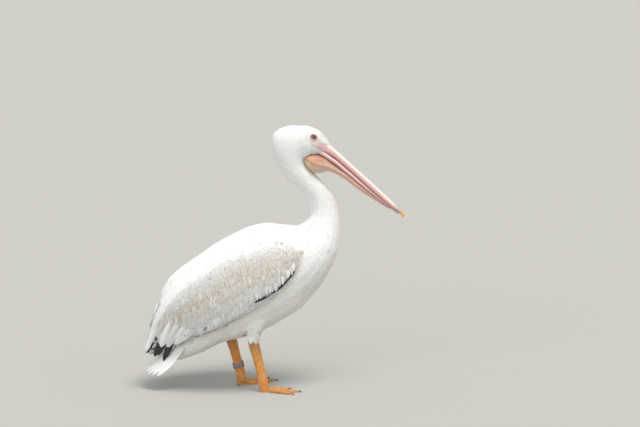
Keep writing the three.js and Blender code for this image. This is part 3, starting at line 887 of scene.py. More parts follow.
# Each piece: its rings, how many lengthwise and around, how square, its horn, node and slot.
for name, stations, section, rings, around, power, horn, stands_for, slot in (
    ("bill_upper_horn", UPPER_BILL, UPPER_SECTION, 60, 64, 2.4, upper_horn, "bill_upper", "bill"),
    ("bill_lower_horn", LOWER_BILL, LOWER_SECTION, 60, 56, 2.6, lower_horn, "bill_lower", "bill"),
    ("bill_hooked_nail", NAIL, PLAIN_SECTION, 22, 28, 2.2, nail_horn, "bill_nail", "nail"),
):
    horn_piece = blade(name, stations, section, rings, around, power)
    horn_piece.data.materials.append(horn)
    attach(horn_piece, "root")
    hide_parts(stands_for)

# ---------------------------------------------------------------- claws
# Eight small blunt claws of dull brown horn, one on each toe, rounded from the frame's shapes.
CLAW_SWELL = 0.0005
claw_horn, tree, shader = material("claw_horn", 0.42, coat_weight=0.1)
tone = between(tree, noise(tree, 2.5), (0.10, 0.06, 0.04), (0.24, 0.15, 0.09))
dress(tree, shader, tone, noise(tree, 1), 0.0002)
for side in ("right", "left"):
    for toe in ("outer", "middle", "inner", "hind"):
        claw = joined_copy(f"claw_horn_{toe}_{side}", [f"claw_{toe}_{side}"])
        rounding = claw.modifiers.new("rounding", "SUBSURF")
        rounding.levels = 2
        rounding.render_levels = 2
        bpy.ops.object.modifier_apply(modifier="rounding")
        bpy.ops.object.mode_set(mode="EDIT")
        bpy.ops.mesh.select_all(action="SELECT")
        bpy.ops.transform.shrink_fatten(value=CLAW_SWELL)
        bpy.ops.object.mode_set(mode="OBJECT")
        bpy.ops.object.shade_smooth()
        claw.data.materials.append(claw_horn)
        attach(claw, "root")
        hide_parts(f"claw_{toe}_{side}")

# ---------------------------------------------------------------- leg band
# A worn aluminium ring, bent shut round the left shank above the foot, with its butt joint at
# the back and rolled edges.
BAND_BEVEL = 0.0004
JOINT_SIZE = (0.014, 0.0007, 0.04)
band_metal, tree, shader = material("band_metal", 0.55, metallic=0.7)
worn = noise(tree, 6, 5.0)
metal = between(tree, span(tree, worn, 0.35, 0.65), (0.17, 0.135, 0.11), (0.38, 0.36, 0.345))
tree.links.new(span(tree, worn, 0.3, 0.7, 0.7, 0.45), shader.inputs["Roughness"])
dress(tree, shader, metal, noise(tree, 1.2, 5.0), 0.0003)
band = joined_copy("band_ring", ["leg_band"])
edges = band.modifiers.new("edges", "BEVEL")
edges.width = BAND_BEVEL
edges.segments = 2
edges.limit_method = "ANGLE"
bpy.ops.object.modifier_apply(modifier="edges")
band_low, band_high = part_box("leg_band")
band_middle = (band_low + band_high) / 2
bpy.ops.mesh.primitive_cube_add(size=1, location=band_middle + Vector((-0.012, 0.006, 0)))
gap = bpy.context.object
gap.scale = JOINT_SIZE
gap.rotation_euler = (0, math.radians(-14), math.radians(-26))
bpy.ops.object.transform_apply(location=True, rotation=True, scale=True)
combine(band, gap, "DIFFERENCE")
bpy.ops.object.shade_smooth_by_angle(angle=math.radians(35))
band.data.materials.clear()
band.data.materials.append(band_metal)
band.data.polygons.foreach_set("material_index", np.zeros(len(band.data.polygons), np.int32))
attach(band, "root")
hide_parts("leg_band")

# ---------------------------------------------------------------- how feathers are made and laid
# Each feather is a thin closed vane, rooted in the skin and pointed or rounded at its tip. It
# follows the coat's form backwards, its root sunk under the feathers before it and its tip on top.
chance = np.random.default_rng(11)
# Known places on the side view, and the turn there, in degrees, of the way that feathers point.
LIE = (
    (172, 768, 150), (150, 765, 165), (130, 805, 155), (105, 826, 172), (80, 830, 182), (40, 824, 200),
    (15, 806, 225), (-5, 770, 262), (5, 730, 285), (30, 690, 308), (80, 680, 315), (117, 640, 308),
    (150, 594, 290), (158, 545, 268), (150, 500, 252), (110, 775, 205), (90, 740, 225), (60, 710, 285),
    (120, 745, 205),
    (150, 735, 195), (85, 700, 300), (190, 460, 258), (170, 400, 240), (120, 430, 235), (110, 330, 215),
    (60, 440, 205), (40, 250, 200), (-30, 200, 190), (-100, 180, 192), (-180, 170, 198), (-250, 140, 210),
    (-310, 110, 222), (80, 515, 190), (0, 515, 182), (-80, 505, 190), (-150, 475, 205), (-220, 430, 213),
    (-280, 385, 220), (-330, 340, 228), (-350, 270, 245), (-60, 300, 200), (-50, 220, 262), (-60, 180, 268),
    (-120, 220, 262), (-130, 180, 268), (100, 480, 215), (60, 490, 195), (20, 325, 218), (-60, 275, 212),
    (-150, 235, 206), (-230, 185, 205), (75, 390, 228),
)


def lie(points, known=LIE):
    """Which way feathers point at each place, drawn from the known places near it."""
    known = np.asarray(known, float)
    gaps = (points[:, None, 0] - known[None, :, 0]) ** 2 + (points[:, None, 2] - known[None, :, 1]) ** 2
    weight = 1 / (gaps + 80) ** 1.6
    turn = np.radians(known[:, 2])
    return np.column_stack((weight @ np.cos(turn), np.zeros(len(points)), weight @ np.sin(turn)))


def on_form(points):
    """The nearest places on the coat's form, and which way is out there."""
    found = [form_tree.find_nearest(p) for p in points.tolist()]
    return np.array([f[0] for f in found]), face_turns[[f[2] for f in found]]


def at_reach(points, table):
    """Reads a table by how far along the keel each point lies. A plain number holds everywhere."""
    rows = table if isinstance(table, tuple) else ((0, table),)
    return np.interp(along_keel(points)[0], *zip(*rows))


def sow(faces, spacing):
    """Roots spread evenly over some faces of the form, as far apart as the spacing says."""
    wanted = at_reach(face_middles[faces], spacing)
    share = face_areas[faces] / wanted**2
    count = int(share.sum() * 2.6)
    pick = chance.choice(len(faces), count, p=share / share.sum())
    a = np.sqrt(chance.random(count))[:, None]
    b = chance.random(count)[:, None]
    tri = form_spots[form_faces[faces[pick]]]
    points = tri[:, 0] * (1 - a) + tri[:, 1] * (a * (1 - b)) + tri[:, 2] * (a * b)
    near_by = finder(points.tolist())
    taken = np.zeros(count, bool)
    kept = []
    for i, point in enumerate(points.tolist()):
        if not taken[i]:
            kept.append(i)
            for _, j, _ in near_by.find_range(point, wanted[pick[i]]):
                taken[j] = True
    return points[kept]


def settle(roots, lengths, stops, astray, known=LIE):
    """Lays feathers along the form from their roots, each turned astray by some degrees."""
    spots, outs = on_form(roots)
    path = [spots]
    turns = [outs]
    astray = np.radians(astray)[:, None]
    for start, stop in zip(stops, stops[1:]):
        way = lie(spots, known)
        way = way * np.cos(astray) + np.cross(outs, way) * np.sin(astray)
        way = unit(way - outs * (way * outs).sum(axis=1)[:, None])
        spots, outs = on_form(spots + way * ((stop - start) * lengths)[:, None])
        path.append(spots)
        turns.append(outs)
    return np.stack(path, axis=1), np.stack(turns, axis=1)


# A vane's outline: how far along, and how wide there. Its section: how far across, and how high.
POINTED = ((0, 0), (0.3, 0.85), (0.68, 0.9), (1, 0))
ROUNDED = ((0, 0), (0.25, 0.8), (0.6, 1.0), (0.88, 0.72), (1, 0))
LONG = (
    (0, 0), (0.08, 0.5), (0.25, 0.85), (0.45, 0.98), (0.65, 1.0), (0.8, 0.95), (0.9, 0.78), (0.965, 0.45),
    (1, 0),
)
TAPERED = (
    (0, 0), (0.08, 0.5), (0.25, 0.85), (0.45, 1.0), (0.62, 1.0), (0.76, 0.86), (0.87, 0.6), (0.95, 0.28),
    (1, 0),
)
THIN_SECTION = ((1, 0), (0, 1), (-1, 0), (0, -0.6))
QUILL_SECTION = (
    (1, 0), (0.55, 0.55), (0.07, 0.75), (0, 1.3), (-0.07, 0.75), (-0.55, 0.55), (-1, 0), (0, -0.5),
)


# How deep most roots are sunk, in millimetres, and how long a feather's patch is on the unwrap.
SUNK = 2.5
PATCH = 0.003


def shares(outline):
    """How far along a feather each ring of its outline lies."""
    return np.array(outline, float)[:, 0]


def vanes(
    name, path, outs, widths, outline, marks, sink=0.0, lift=0.0, roll=0.0, thick=0.7, camber=0.15,
    section=QUILL_SECTION,
):
    """One joined mesh of feathers that lie along the paths, with the marks that their material reads.

    sink is how deep a root lies below its path and lift how far a tip stands off it. roll is a
    feather's turn about its length in degrees. thick and camber shape its section.
    """
    count, stations, _ = path.shape
    sink, lift, roll = (np.broadcast_to(value, count) for value in (sink, lift, roll))
    stops, spread = np.array(outline, float).T
    across, high = np.array(section, float).T
    middle = path - outs * (sink[:, None] * (1 - stops) ** 4 - lift[:, None] * stops**2)[..., None]
    ahead = unit(np.gradient(middle, axis=1))
    side = unit(np.cross(outs, ahead))
    up = np.cross(ahead, side)
    turn = np.radians(roll)[:, None, None]
    side, up = side * np.cos(turn) + up * np.sin(turn), up * np.cos(turn) - side * np.sin(turn)
    rings = slice(1, stations - 1)
    round_count = len(section)
    far = np.concatenate(((0, 1), np.repeat(stops[rings], round_count)))
    off = np.concatenate(((0, 0), np.tile(across, stations - 2)))
    half = (widths[:, None] / 2 * spread)[:, rings, None, None]
    out = half * across[:, None]
    rise = high[:, None] * thick - camber * half * across[:, None] ** 2
    body = middle[:, rings, None] + side[:, rings, None] * out + up[:, rings, None] * rise
    ends = middle[:, (0, -1)]
    spots = np.concatenate((ends, body.reshape(count, -1, 3)), axis=1)
    each = spots.shape[1]
    tris = []
    quads = []
    last = 2 + (stations - 3) * round_count
    for j in range(round_count):
        k = (j + 1) % round_count
        tris.append((0, 2 + k, 2 + j))
        tris.append((1, last + j, last + k))
        for ring in range(stations - 3):
            base = 2 + ring * round_count
            quads.append((base + j, base + k, base + round_count + k, base + round_count + j))
    first = (np.arange(count) * each)[:, None, None]
    tris = (np.array(tris) + first).reshape(-1)
    quads = (np.array(quads).reshape(-1, 4) + first).reshape(-1)
    mesh = bpy.data.meshes.new(name)
    mesh.vertices.add(count * each)
    mesh.vertices.foreach_set("co", metres(spots.reshape(-1, 3)).astype(np.float32).ravel())
    mesh.loops.add(len(tris) + len(quads))
    order = np.concatenate((tris, quads)).astype(np.int32)
    mesh.loops.foreach_set("vertex_index", order)
    starts = np.concatenate((np.arange(0, len(tris), 3), len(tris) + np.arange(0, len(quads), 4)))
    mesh.polygons.add(len(starts))
    mesh.polygons.foreach_set("loop_start", starts.astype(np.int32))
    mesh.polygons.foreach_set("use_smooth", np.ones(len(starts), bool))
    mesh.update(calc_edges=True)
    # The two long edges of a vane are sharp, so its face is lit as one nearly flat sheet.
    pairs = np.zeros(len(mesh.edges) * 2, np.int32)
    mesh.edges.foreach_get("vertices", pairs)
    pairs = pairs.reshape(-1, 2) % each
    reached = np.abs(off[pairs].sum(axis=1))
    rim = (reached == 2) | ((pairs < 2).any(axis=1) & (reached == 1))
    mesh.attributes.new("sharp_edge", "BOOLEAN", "EDGE").data.foreach_set("value", rim)
    piece = bpy.data.objects.new(name, mesh)
    bpy.context.collection.objects.link(piece)
    carry(piece, "far", np.tile(far, count))
    carry(piece, "off", np.tile(off, count))
    carry(piece, "tone", np.repeat(chance.random(count), each))
    lengths = np.linalg.norm(np.diff(path, axis=1), axis=2).sum(axis=1)
    carry(piece, "run", (lengths[:, None] * far).ravel() / 1000)
    carry(piece, "reach_out", (widths[:, None] / 2 * off).ravel() / 1000)
    for mark in ("tan", "soot", "grey"):
        carry(piece, mark, np.repeat(np.broadcast_to(marks.get(mark, 0.0), count), each))
    # The unwrap for baking: each feather is a small patch at its root's place along and round the keel.
    reach, around = along_keel(path[:, 0])
    reach = 0.02 + 0.96 * (reach - reach.min()) / max(np.ptp(reach), 1e-6)
    around = 0.02 + 0.96 * (around / (2 * math.pi) + 0.5)
    u = reach[:, None] + PATCH * (far - 0.5)
    v = around[:, None] + PATCH / 2 * off
    layer = mesh.uv_layers.new(name="OFBake")
    flat = np.column_stack((u.ravel(), v.ravel()))[order]
    layer.data.foreach_set("uv", flat.astype(np.float32).ravel())
    return piece


feather_look, inputs, outputs = group_of(
    "feather_look", ("Colour", "Far", "Tone", "Run", "Reach Out", "Barbs", "Dark", "Root Shade"),
    ("Colour", "Height"),
)
tree = feather_look
strand = node(tree, "CombineXYZ", {
    "X": sums(tree, "MULTIPLY", inputs["Run"], 35.0),
    "Y": sums(tree, "MULTIPLY", inputs["Reach Out"], 620.0),
    "Z": sums(tree, "MULTIPLY", inputs["Tone"], 37.0),
}).outputs[0]
strand = {"Vector": strand, "Scale": 1.0, "Detail": 3.0, "Roughness": 0.6}
splits = node(tree, "TexNoise", strand).outputs["Fac"]
sideways = sums(tree, "MULTIPLY", sums(tree, "ABSOLUTE", inputs["Reach Out"]), 0.8)
slant = sums(tree, "SUBTRACT", inputs["Run"], sideways)
barbs = sums(tree, "SINE", sums(tree, "MULTIPLY", slant, inputs["Barbs"]))
# Painted shade in the splits between clumps of barbs: the vane darkens there, down to Dark.
light = {"Value": splits, "From Min": 0.30, "From Max": 0.62, "To Min": inputs["Dark"]}
light = node(tree, "MapRange", light).outputs["Result"]
grey = node(tree, "CombineColor", {0: light, 1: light, 2: light}).outputs[0]
tone = between(tree, 1.0, inputs["Colour"], grey, "MULTIPLY")
# Painted shade towards each feather's root, where the feathers before it overlap it.
shade = sums(tree, "MULTIPLY", span(tree, inputs["Far"], 0.15, 0.75, 1.0, 0.0), inputs["Root Shade"])
tone = between(tree, shade, tone, between(tree, 0.5, tone, (0.30, 0.29, 0.28), "MULTIPLY"))
dull = sums(tree, "MULTIPLY", inputs["Tone"], 0.12)
tree.links.new(between(tree, dull, tone, (0.72, 0.71, 0.69), "MULTIPLY"), outputs["Colour"])
tree.links.new(sums(tree, "ADD", splits, sums(tree, "MULTIPLY", barbs, 0.25)), outputs["Height"])


def feather_finish(name, barb, root_shade, dark, relief, roughness):
    """Dry feather: barbs in fine slanting lines and splits along the vane; painted shade darkens the splits
    and the vane towards its root.
    """
    made, tree, shader = material(name, roughness, sheen_weight=0.25, sheen_roughness=0.4)
    look = tree.nodes.new("ShaderNodeGroup")
    look.node_tree = feather_look
    tree.links.new(plume_tone(tree), look.inputs["Colour"])
    for socket in ("Far", "Tone", "Run", "Reach Out"):
        tree.links.new(read(tree, socket.lower().replace(" ", "_")), look.inputs[socket])
    look.inputs["Barbs"].default_value = 2 * math.pi * 1000 / barb
    look.inputs["Dark"].default_value = dark
    look.inputs["Root Shade"].default_value = root_shade
    dress(tree, shader, look.outputs["Colour"], look.outputs["Height"], relief)
    return made


body_plume = feather_finish("body_plume", 1.4, 0.22, 0.86, 0.00014, 0.8)
breast_plume = feather_finish("breast_plume", 1.4, 0.36, 0.79, 0.0002, 0.8)
long_plume = feather_finish("long_plume", 1.8, 0.25, 0.79, 0.0002, 0.62)

# ---------------------------------------------------------------- head and neck feathers
# Thousands of short narrow feathers, smallest round the face and longer down the neck, lying
# back over the crown and down the neck, a little ragged along the nape.
blocked = np.zeros(len(form_faces), bool)
for part in ("bill_upper", "bill_lower", "pouch"):
    surface = surface_of(part)
    for i in near(face_middles, part, 6):
        place, out, _, gap = surface.find_nearest(face_middles[i].tolist())
        buried = (Vector(face_middles[i]) - place).dot(out) < 0
        blocked[i] |= gap < 0.7 or buried
blocked |= inside(face_middles, BARE_FACE)
blocked |= np.linalg.norm(face_middles[:, (0, 2)] - EYE_PLACE[[0, 2]], axis=1) < 10.5
part_head, part_neck_upper, part_neck_lower, part_trunk, part_wing_right, part_wing_left = range(6)
# How far apart, how long and how wide the small feathers are, each by how far along the keel.
SMALL = (
    (
        (0, 1.4), (60, 1.6), (120, 1.9), (200, 2.3), (300, 2.8), (380, 3.3), (450, 3.9), (520, 4.5),
        (620, 4.9),
    ),
    ((0, 6.6), (60, 9.0), (120, 12.5), (200, 16), (300, 19), (380, 23), (450, 28), (520, 32), (620, 36)),
    (
        (0, 2.4), (60, 3.0), (120, 3.9), (200, 5.0), (300, 6.6), (380, 8.4), (450, 10.4), (520, 12.4),
        (620, 14),
    ),
)


def cover(name, faces, outline, sizes=SMALL, rough=6.0, stand=0.4, known=LIE):
    """A tract of small feathers over some faces of the form.

    rough is how far they lie astray, in degrees, and stand how far their tips stand off.
    """
    spacing, length, width = sizes
    roots = sow(np.flatnonzero(faces), spacing)
    count = len(roots)
    lengths = at_reach(roots, length) * chance.uniform(0.8, 1.2, count)
    lid_room = eye_gap(roots) - 11
    lengths = np.minimum(lengths, np.maximum(1.8, lid_room * 1.3))
    widths = at_reach(roots, width) * chance.uniform(0.85, 1.15, count)
    path, outs = settle(roots, lengths, shares(outline), chance.normal(0, rough, count), known)
    deep = coat_depth(roots) * 0.9
    tall = chance.uniform(0.2, 1.0, count) * stand
    marks = {
        "tan": tan_and_warm_light_mark(roots) * chance.uniform(0.5, 1.1, count),
        "grey": grey_and_shade_mark(roots) + chance.uniform(0, 0.18, count),
    }
    roll = chance.normal(0, 1, count) * np.interp(widths, (3, 15), (7, 2.5))
    return vanes(name, path, outs, widths, outline, marks, deep, tall, roll, 0.35, 0.25, THIN_SECTION)


def hang(piece, finish):
    """Fixes a piece of plumage to the bird."""
    piece.data.materials.clear()
    piece.data.materials.append(finish)
    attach(piece, "root")


on_head = (face_part == part_head) & ~blocked
on_neck = np.isin(face_part, (part_neck_upper, part_neck_lower)) & ~blocked
hang(cover("head_feathers", on_head, POINTED, stand=0.2), body_plume)
hang(cover("neck_feathers", on_neck, POINTED, rough=7.0, stand=0.3), body_plume)

# ---------------------------------------------------------------- breast, belly, back and thigh feathers
# Broader rounded feathers over the trunk: fine and wavy on the breast and belly, long and smooth
# over the back, and short round the tops of the shanks.
face_level = wing_level(face_middles)
on_wing = np.isin(face_part, (part_wing_right, part_wing_left))
on_trunk = face_part == part_trunk
facing_up = on_trunk & (face_turns[:, 2] > 0.35) & (face_middles[:, 0] < 75)
on_back = facing_up | (on_wing & (face_level < -0.02))
below_wing = on_wing & (face_level > 1.0) & (face_middles[:, 0] > -290)
on_front = (on_trunk | below_wing) & ~on_back & ~blocked
hang(cover("breast_feathers", on_front, ROUNDED, rough=9.0, stand=0.6), breast_plume)
BACK = (7.4, ((540, 34), (700, 48), (900, 62), (1100, 50)), ((540, 17), (700, 23), (2000, 26)))
hang(cover("back_feathers", on_back, ROUNDED, BACK, rough=4.0, stand=0.4), body_plume)
THIGH = (3.8, 17, 6.5)
CUFF_COUNT = 84
CUFF_WIDTH = 5.5
GOLDEN_TURN = 2.39996
on_thigh = face_part > part_wing_left


def cuff(side):
    """Rings of feathers that hang from the end of a thigh over the top of the shank."""
    shank = grid([v.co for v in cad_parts[f"tarsus_{side}"].data.vertices])
    top = shank[shank[:, 2] > shank[:, 2].max() - 4]
    thigh = grid((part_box(f"thigh_{side}")[1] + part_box(f"thigh_{side}")[0]) / 2)
    down = unit(top.mean(axis=0) - thigh)
    across = unit(np.cross(down, (0, 1, 0)))
    around = np.cross(down, across)
    radius = np.linalg.norm(top - top.mean(axis=0), axis=1).max()
    count = CUFF_COUNT
    turn = np.arange(count) * GOLDEN_TURN + chance.uniform(-0.1, 0.1, count)
    outs = np.cos(turn)[:, None] * across + np.sin(turn)[:, None] * around
    begin = np.linspace(-26, -8, count)
    stops = shares(POINTED)
    length = chance.uniform(15, 21, count)
    run = begin[:, None] + length[:, None] * stops
    out = radius + 1.2 + chance.uniform(0.0, 1.2, count)[:, None] - 0.03 * run
    path = top.mean(axis=0) + outs[:, None] * out[..., None] + down * run[..., None]
    outs = np.repeat(outs[:, None], len(stops), axis=1)
    # A little tan, as painted warm light from below, as on the belly.
    marks = {"tan": chance.uniform(0.05, 0.2, count), "grey": 0.05}
    lift = chance.uniform(0, 0.6, count)
    roll = chance.normal(0, 4, count)
    widths = np.full(count, CUFF_WIDTH)
    return vanes("cuff", path, outs, widths, POINTED, marks, 1.5, lift, roll, 0.35, 0.25, THIN_SECTION)


thigh_cover = cover("thigh", on_thigh, POINTED, THIGH, rough=8.0, stand=0.6)
hang(gather("thigh_feathers", [thigh_cover, cuff("right"), cuff("left")]), body_plume)

# ---------------------------------------------------------------- wing feathers
# Five overlapping rows hang down each folded wing: long greyish secondaries at the bottom, two
# rows of greater coverts, two of tan median coverts, and shaggy small coverts along the top.
WING_LINES = (
    ((96, 458), (90, 426)), ((73, 474), (66, 393)), ((30, 485), (34, 355)), ((-26, 478), (-10, 323)),
    ((-73, 463), (-58, 296)), ((-126, 444), (-112, 264)), ((-181, 412), (-172, 227)),
    ((-234, 374), (-236, 189)), ((-290, 329), (-300, 150)), ((-335, 278), (-352, 128)),
    ((-362, 221), (-390, 115)),
)
WING_LIE = (
    (80, 430, 262), (60, 380, 268), (0, 400, 276), (0, 330, 275), (-60, 430, 282), (-100, 330, 272),
    (-100, 260, 270), (-200, 330, 262), (-200, 230, 262), (-280, 250, 250), (-300, 180, 252),
    (-350, 180, 245), (-350, 130, 250),
)
SHEET_TOP = -0.1
SHEET_LOW = 0.94
SHEET_STEP = 0.04
SHEET_LONG = 61
SHEET_DOWN = 27
FLANK_FAR = 300
wing_tops, wing_edges = np.array(WING_LINES, float).transpose(1, 0, 2)


def flank(x, z, side):
    """How far out from the middle the bird's flank is at a place of the side view, if it is there."""
    hit = form_tree.ray_cast((x, side * FLANK_FAR, z), (0, -side, 0))[0]
    return None if hit is None else abs(hit.y)


def wing_sheet(side):
    """The wing's outer face as a table of points: from front to back, and from top edge to bottom."""
    along = np.linspace(0, 1, SHEET_LONG)
    top = smooth_line(wing_tops, along)[:, None]
    low = smooth_line(wing_edges, along)[:, None]
    flat = top + (low - top) * np.linspace(SHEET_TOP, SHEET_LOW, SHEET_DOWN)[:, None]
    sheet = np.zeros((SHEET_LONG, SHEET_DOWN, 3))
    for i in range(SHEET_LONG):
        held = 60.0
        for j in range(SHEET_DOWN):
            x, z = flat[i, j]
            found = flank(x, z, side)
            if found is not None and found > 18:
                held = found
            sheet[i, j] = (x, side * held, z)
    for _ in range(4):
        sheet[1:-1, :, 1] = sheet[1:-1, :, 1] * 0.5 + (sheet[2:, :, 1] + sheet[:-2, :, 1]) * 0.25
        sheet[:, 1:-1, 1] = sheet[:, 1:-1, 1] * 0.5 + (sheet[:, 2:, 1] + sheet[:, :-2, 1]) * 0.25
    return sheet


def on_sheet(sheet, along, down, side):
    """Places on the wing's outer face, and which way is out there."""
    i = np.clip(along, 0, 1) * (SHEET_LONG - 1)
    j = (np.clip(down, SHEET_TOP, SHEET_LOW) - SHEET_TOP) / SHEET_STEP
    i0 = np.minimum(i.astype(int), SHEET_LONG - 2)
    j0 = np.minimum(j.astype(int), SHEET_DOWN - 2)
    f = (i - i0)[..., None]
    g = (j - j0)[..., None]
    a, b, c, d = sheet[i0, j0], sheet[i0 + 1, j0], sheet[i0, j0 + 1], sheet[i0 + 1, j0 + 1]
    spot = (a * (1 - f) + b * f) * (1 - g) + (c * (1 - f) + d * f) * g
    # Past the sheet's lower edge, feathers run straight on.
    past = np.maximum(down - SHEET_LOW, 0)[..., None]
    spot = spot + (sheet[i0, 26] - sheet[i0, 20]) / 0.24 * past
    out = unit(np.cross(d - a, c - b))
    out = out * np.sign(out[..., 1:2] * side)
    return spot, out


def wing_row(side, start, stop, width, gap, level, lift, tan, grey):
    """One row of wing feathers from front to back."""
    middle = (wing_tops + wing_edges) / 2
    length = np.linalg.norm(np.diff(middle, axis=0), axis=1).sum()
    count = int(length / gap)
    along = (np.arange(count) + chance.uniform(0.2, 0.8, count)) / count
    stops = shares(LONG)
    # The rows draw up towards the top edge at the wing's end.
    drawn_up = np.interp(along, (0.86, 0.97), (1.0, 0.5))
    tip = (stop + chance.uniform(-0.075, 0.035, count)) * drawn_up
    begin = start * drawn_up
    down = begin[:, None] + (tip - begin)[:, None] * stops
    swing = chance.normal(0, 4.0 / length, count)[:, None] * stops**1.5
    path, outs = on_sheet(wing_sheets[side], along[:, None] + swing, down, side)
    tall = np.interp(along, (0, 0.12, 0.3, 1), (0.5, 0.8, 1, 1))
    path = path - outs * (level + chance.uniform(-0.5, 0.5, (count, 1)))[..., None]
    marks = {
        "tan": np.clip(tan * chance.random(count) ** 1.3 * 1.6 + (along < 0.07) * 0.5, 0, 1),
        "grey": np.clip(grey * chance.uniform(0.3, 1.7, count), 0, 1),
    }
    lifts = lift * chance.uniform(0.3, 1.2, count)
    widths = width * tall * chance.uniform(0.85, 1.15, count)
    roll = chance.normal(5 * side, 3, count)
    return vanes("row", path, outs, widths, LONG, marks, SUNK, lifts, roll, camber=0.22)


wing_sheets = {side: wing_sheet(side) for side in (-1, 1)}
UNDER = (8.5, 30, 14)
COVERT = (5.0, 27, 8.5)
# Each row, from the lowest: where it starts and stops between the wing's top edge and its lower one,
# the feathers' width and how far apart they are, how deep they lie, how far their tips stand off,
# and how tan and how grey they are.
# The grey is partly the feathers' own greyish tone and partly painted shade between the rows.
ROWS = (
    (0.38, 1.04, 12, 6.6, 3.6, 3.6, 0.22, 0.72),
    (0.32, 0.86, 11.5, 6.2, 2.6, 1.6, 0.36, 0.66),
    (0.26, 0.70, 10.5, 5.8, 1.8, 1.4, 0.58, 0.62),
    (0.20, 0.55, 10, 5.4, 1.0, 1.3, 0.85, 0.66),
    (0.12, 0.41, 9, 5.0, 0.4, 1.4, 0.72, 0.72),
)
for side, word, part in ((-1, "right", part_wing_right), (1, "left", part_wing_left)):
    mine = on_wing & (face_part == part)
    lower = mine & (face_level > -0.04)
    upper = mine & (face_level > -0.16) & (face_level < 0.34)
    tracts = [cover("under", lower, ROUNDED, UNDER, rough=5.0, stand=-2.0, known=WING_LIE)]
    tracts += [wing_row(side, *row) for row in ROWS]
    tracts += [cover("small", upper, ROUNDED, COVERT, rough=11.0, stand=0.9, known=WING_LIE)]
    hang(gather(f"wing_feathers_{word}", tracts), long_plume)

# ---------------------------------------------------------------- black edge of the folded wing
# The outer flight feathers lie folded along the wing's lower edge, where a line of narrow black
# blades shows below the white tips.
LEAST_OUT = 27


def beside(side, flat):
    """Points on the bird's flank at places of the side view, and which way is out there."""
    spots = np.zeros((*flat.shape[:2], 3))
    for i, row in enumerate(flat):
        held = LEAST_OUT
        for j, (x, z) in enumerate(row):
            found = flank(x, z, side)
            held = held if found is None else max(LEAST_OUT, found)
            spots[i, j] = (x, side * held, z)
    for _ in range(2):
        spots[:, 1:-1, 1] = spots[:, 1:-1, 1] * 0.4 + (spots[:, :-2, 1] + spots[:, 2:, 1]) * 0.3
    outs = np.zeros_like(spots)
    outs[..., 1] = side
    outs[..., 2] = 0.12
    return spots, unit(outs)


BLACK_EDGE = ((67, 395), (52, 377), (22, 345), (-6, 326), (-36, 309), (-70, 290), (-108, 267))
BLADES = 9
BROWN_BLADE = 5
DARK_TIPS = ((-204, 222, -214, 202), (-260, 202, -276, 180))


def straight(ends, stops):
    """Paths on the side view from roots to tips, given in rows of root x and z, tip x and z."""
    ends = np.asarray(ends, float)[:, None]
    return ends[..., 0:2] + (ends[..., 2:4] - ends[..., 0:2]) * stops[:, None]


def fringe(side, line, count, below, wide, proud):
    """White tips of the secondaries, which hang over a line along the wing's lower edge."""
    end = smooth_line(line, np.linspace(0.04, 0.97, count) + chance.uniform(-0.3, 0.3, count) / count)
    end = end + np.column_stack((np.zeros(count), chance.uniform(*below, count)))
    begin = end + np.column_stack((chance.uniform(-6, 2, count), chance.uniform(34, 42, count)))
    stops = shares(TAPERED)
    spots, outs = beside(side, straight(np.hstack((begin, end)), stops))
    spots = spots + outs * np.interp(stops, (0, 0.4, 1), (-2.5, 0.5, proud))[:, None]
    marks = {"grey": chance.uniform(0.2, 0.7, count), "tan": chance.uniform(0, 0.2, count)}
    widths = chance.uniform(*wide, count)
    roll = chance.normal(4 * side, 3, count)
    return vanes("tip", spots, outs, widths, TAPERED, marks, SUNK, 0, roll, camber=0.18)


edge_tracts = []
for side in (-1, 1):
    begin = np.linspace(-0.05, 0.50, BLADES)
    reach = chance.uniform(0.26, 0.36, BLADES)
    flat = smooth_line(BLACK_EDGE, begin[:, None] + reach[:, None] * shares(LONG))
    flat = flat + chance.uniform(-2.5, 2.0, (BLADES, 1, 1))
    spots, outs = beside(side, flat)
    spots = spots + outs * (0.6 + 0.1 * np.arange(BLADES))[:, None, None]
    marks = {"soot": np.where(np.arange(BLADES) == BROWN_BLADE, 0.55, 1.0), "tan": 0.8}
    widths = chance.uniform(8, 11, BLADES)
    edge_tracts.append(vanes("edge", spots, outs, widths, LONG, marks, SUNK, 0.3))
    edge_tracts.append(fringe(side, BLACK_EDGE, 13, (-6.0, 3.5), (8, 12), 3.2))
    edge_tracts.append(fringe(side, WING_EDGE[5:13], 40, (-20.0, -8.0), (10, 13), 1.2))
    # Two more dark tips show further back along the same edge.
    stops = shares(TAPERED)
    spots, outs = beside(side, straight(DARK_TIPS, stops))
    proud = np.array((1.5, 8.0))[:, None] * np.interp(stops, (0, 0.5, 1), (-1.0, 0.4, 1.0))
    spots = spots + outs * proud[..., None]
    edge_tracts.append(vanes("dark", spots, outs, np.array((5.0, 8.0)), TAPERED, {"soot": 1.0}, SUNK))
hang(gather("wing_black_edge", edge_tracts), long_plume)

# ---------------------------------------------------------------- primaries and the last secondaries
# Seven long black flight feathers on each side, whose tips stick out behind the folded wing
# between long white lobes. A row has root x and z, tip x and z, the width and, for a lobe, how far
# out its tip stands.
PRIMARIES = np.array((
    (-300, 260, -397, 117, 21), (-294, 255, -381, 121, 21), (-288, 250, -372, 107, 21),
    (-282, 240, -361, 111, 20), (-286, 225, -343, 92, 16), (-280, 222, -334, 104, 13),
    (-272, 220, -325, 121, 12),
), float)
LOBES = np.array((
    (-322, 285, -397, 122, 17, 6.5), (-318, 270, -386, 172, 18, 6.0), (-290, 262, -350, 138, 23, 5.5),
    (-272, 250, -329, 138, 24, 6.0), (-252, 236, -306, 148, 22, 6.5), (-232, 225, -283, 160, 21, 6.5),
    (-224, 216, -311, 149, 23, 6.5),
))
stops = shares(LONG)


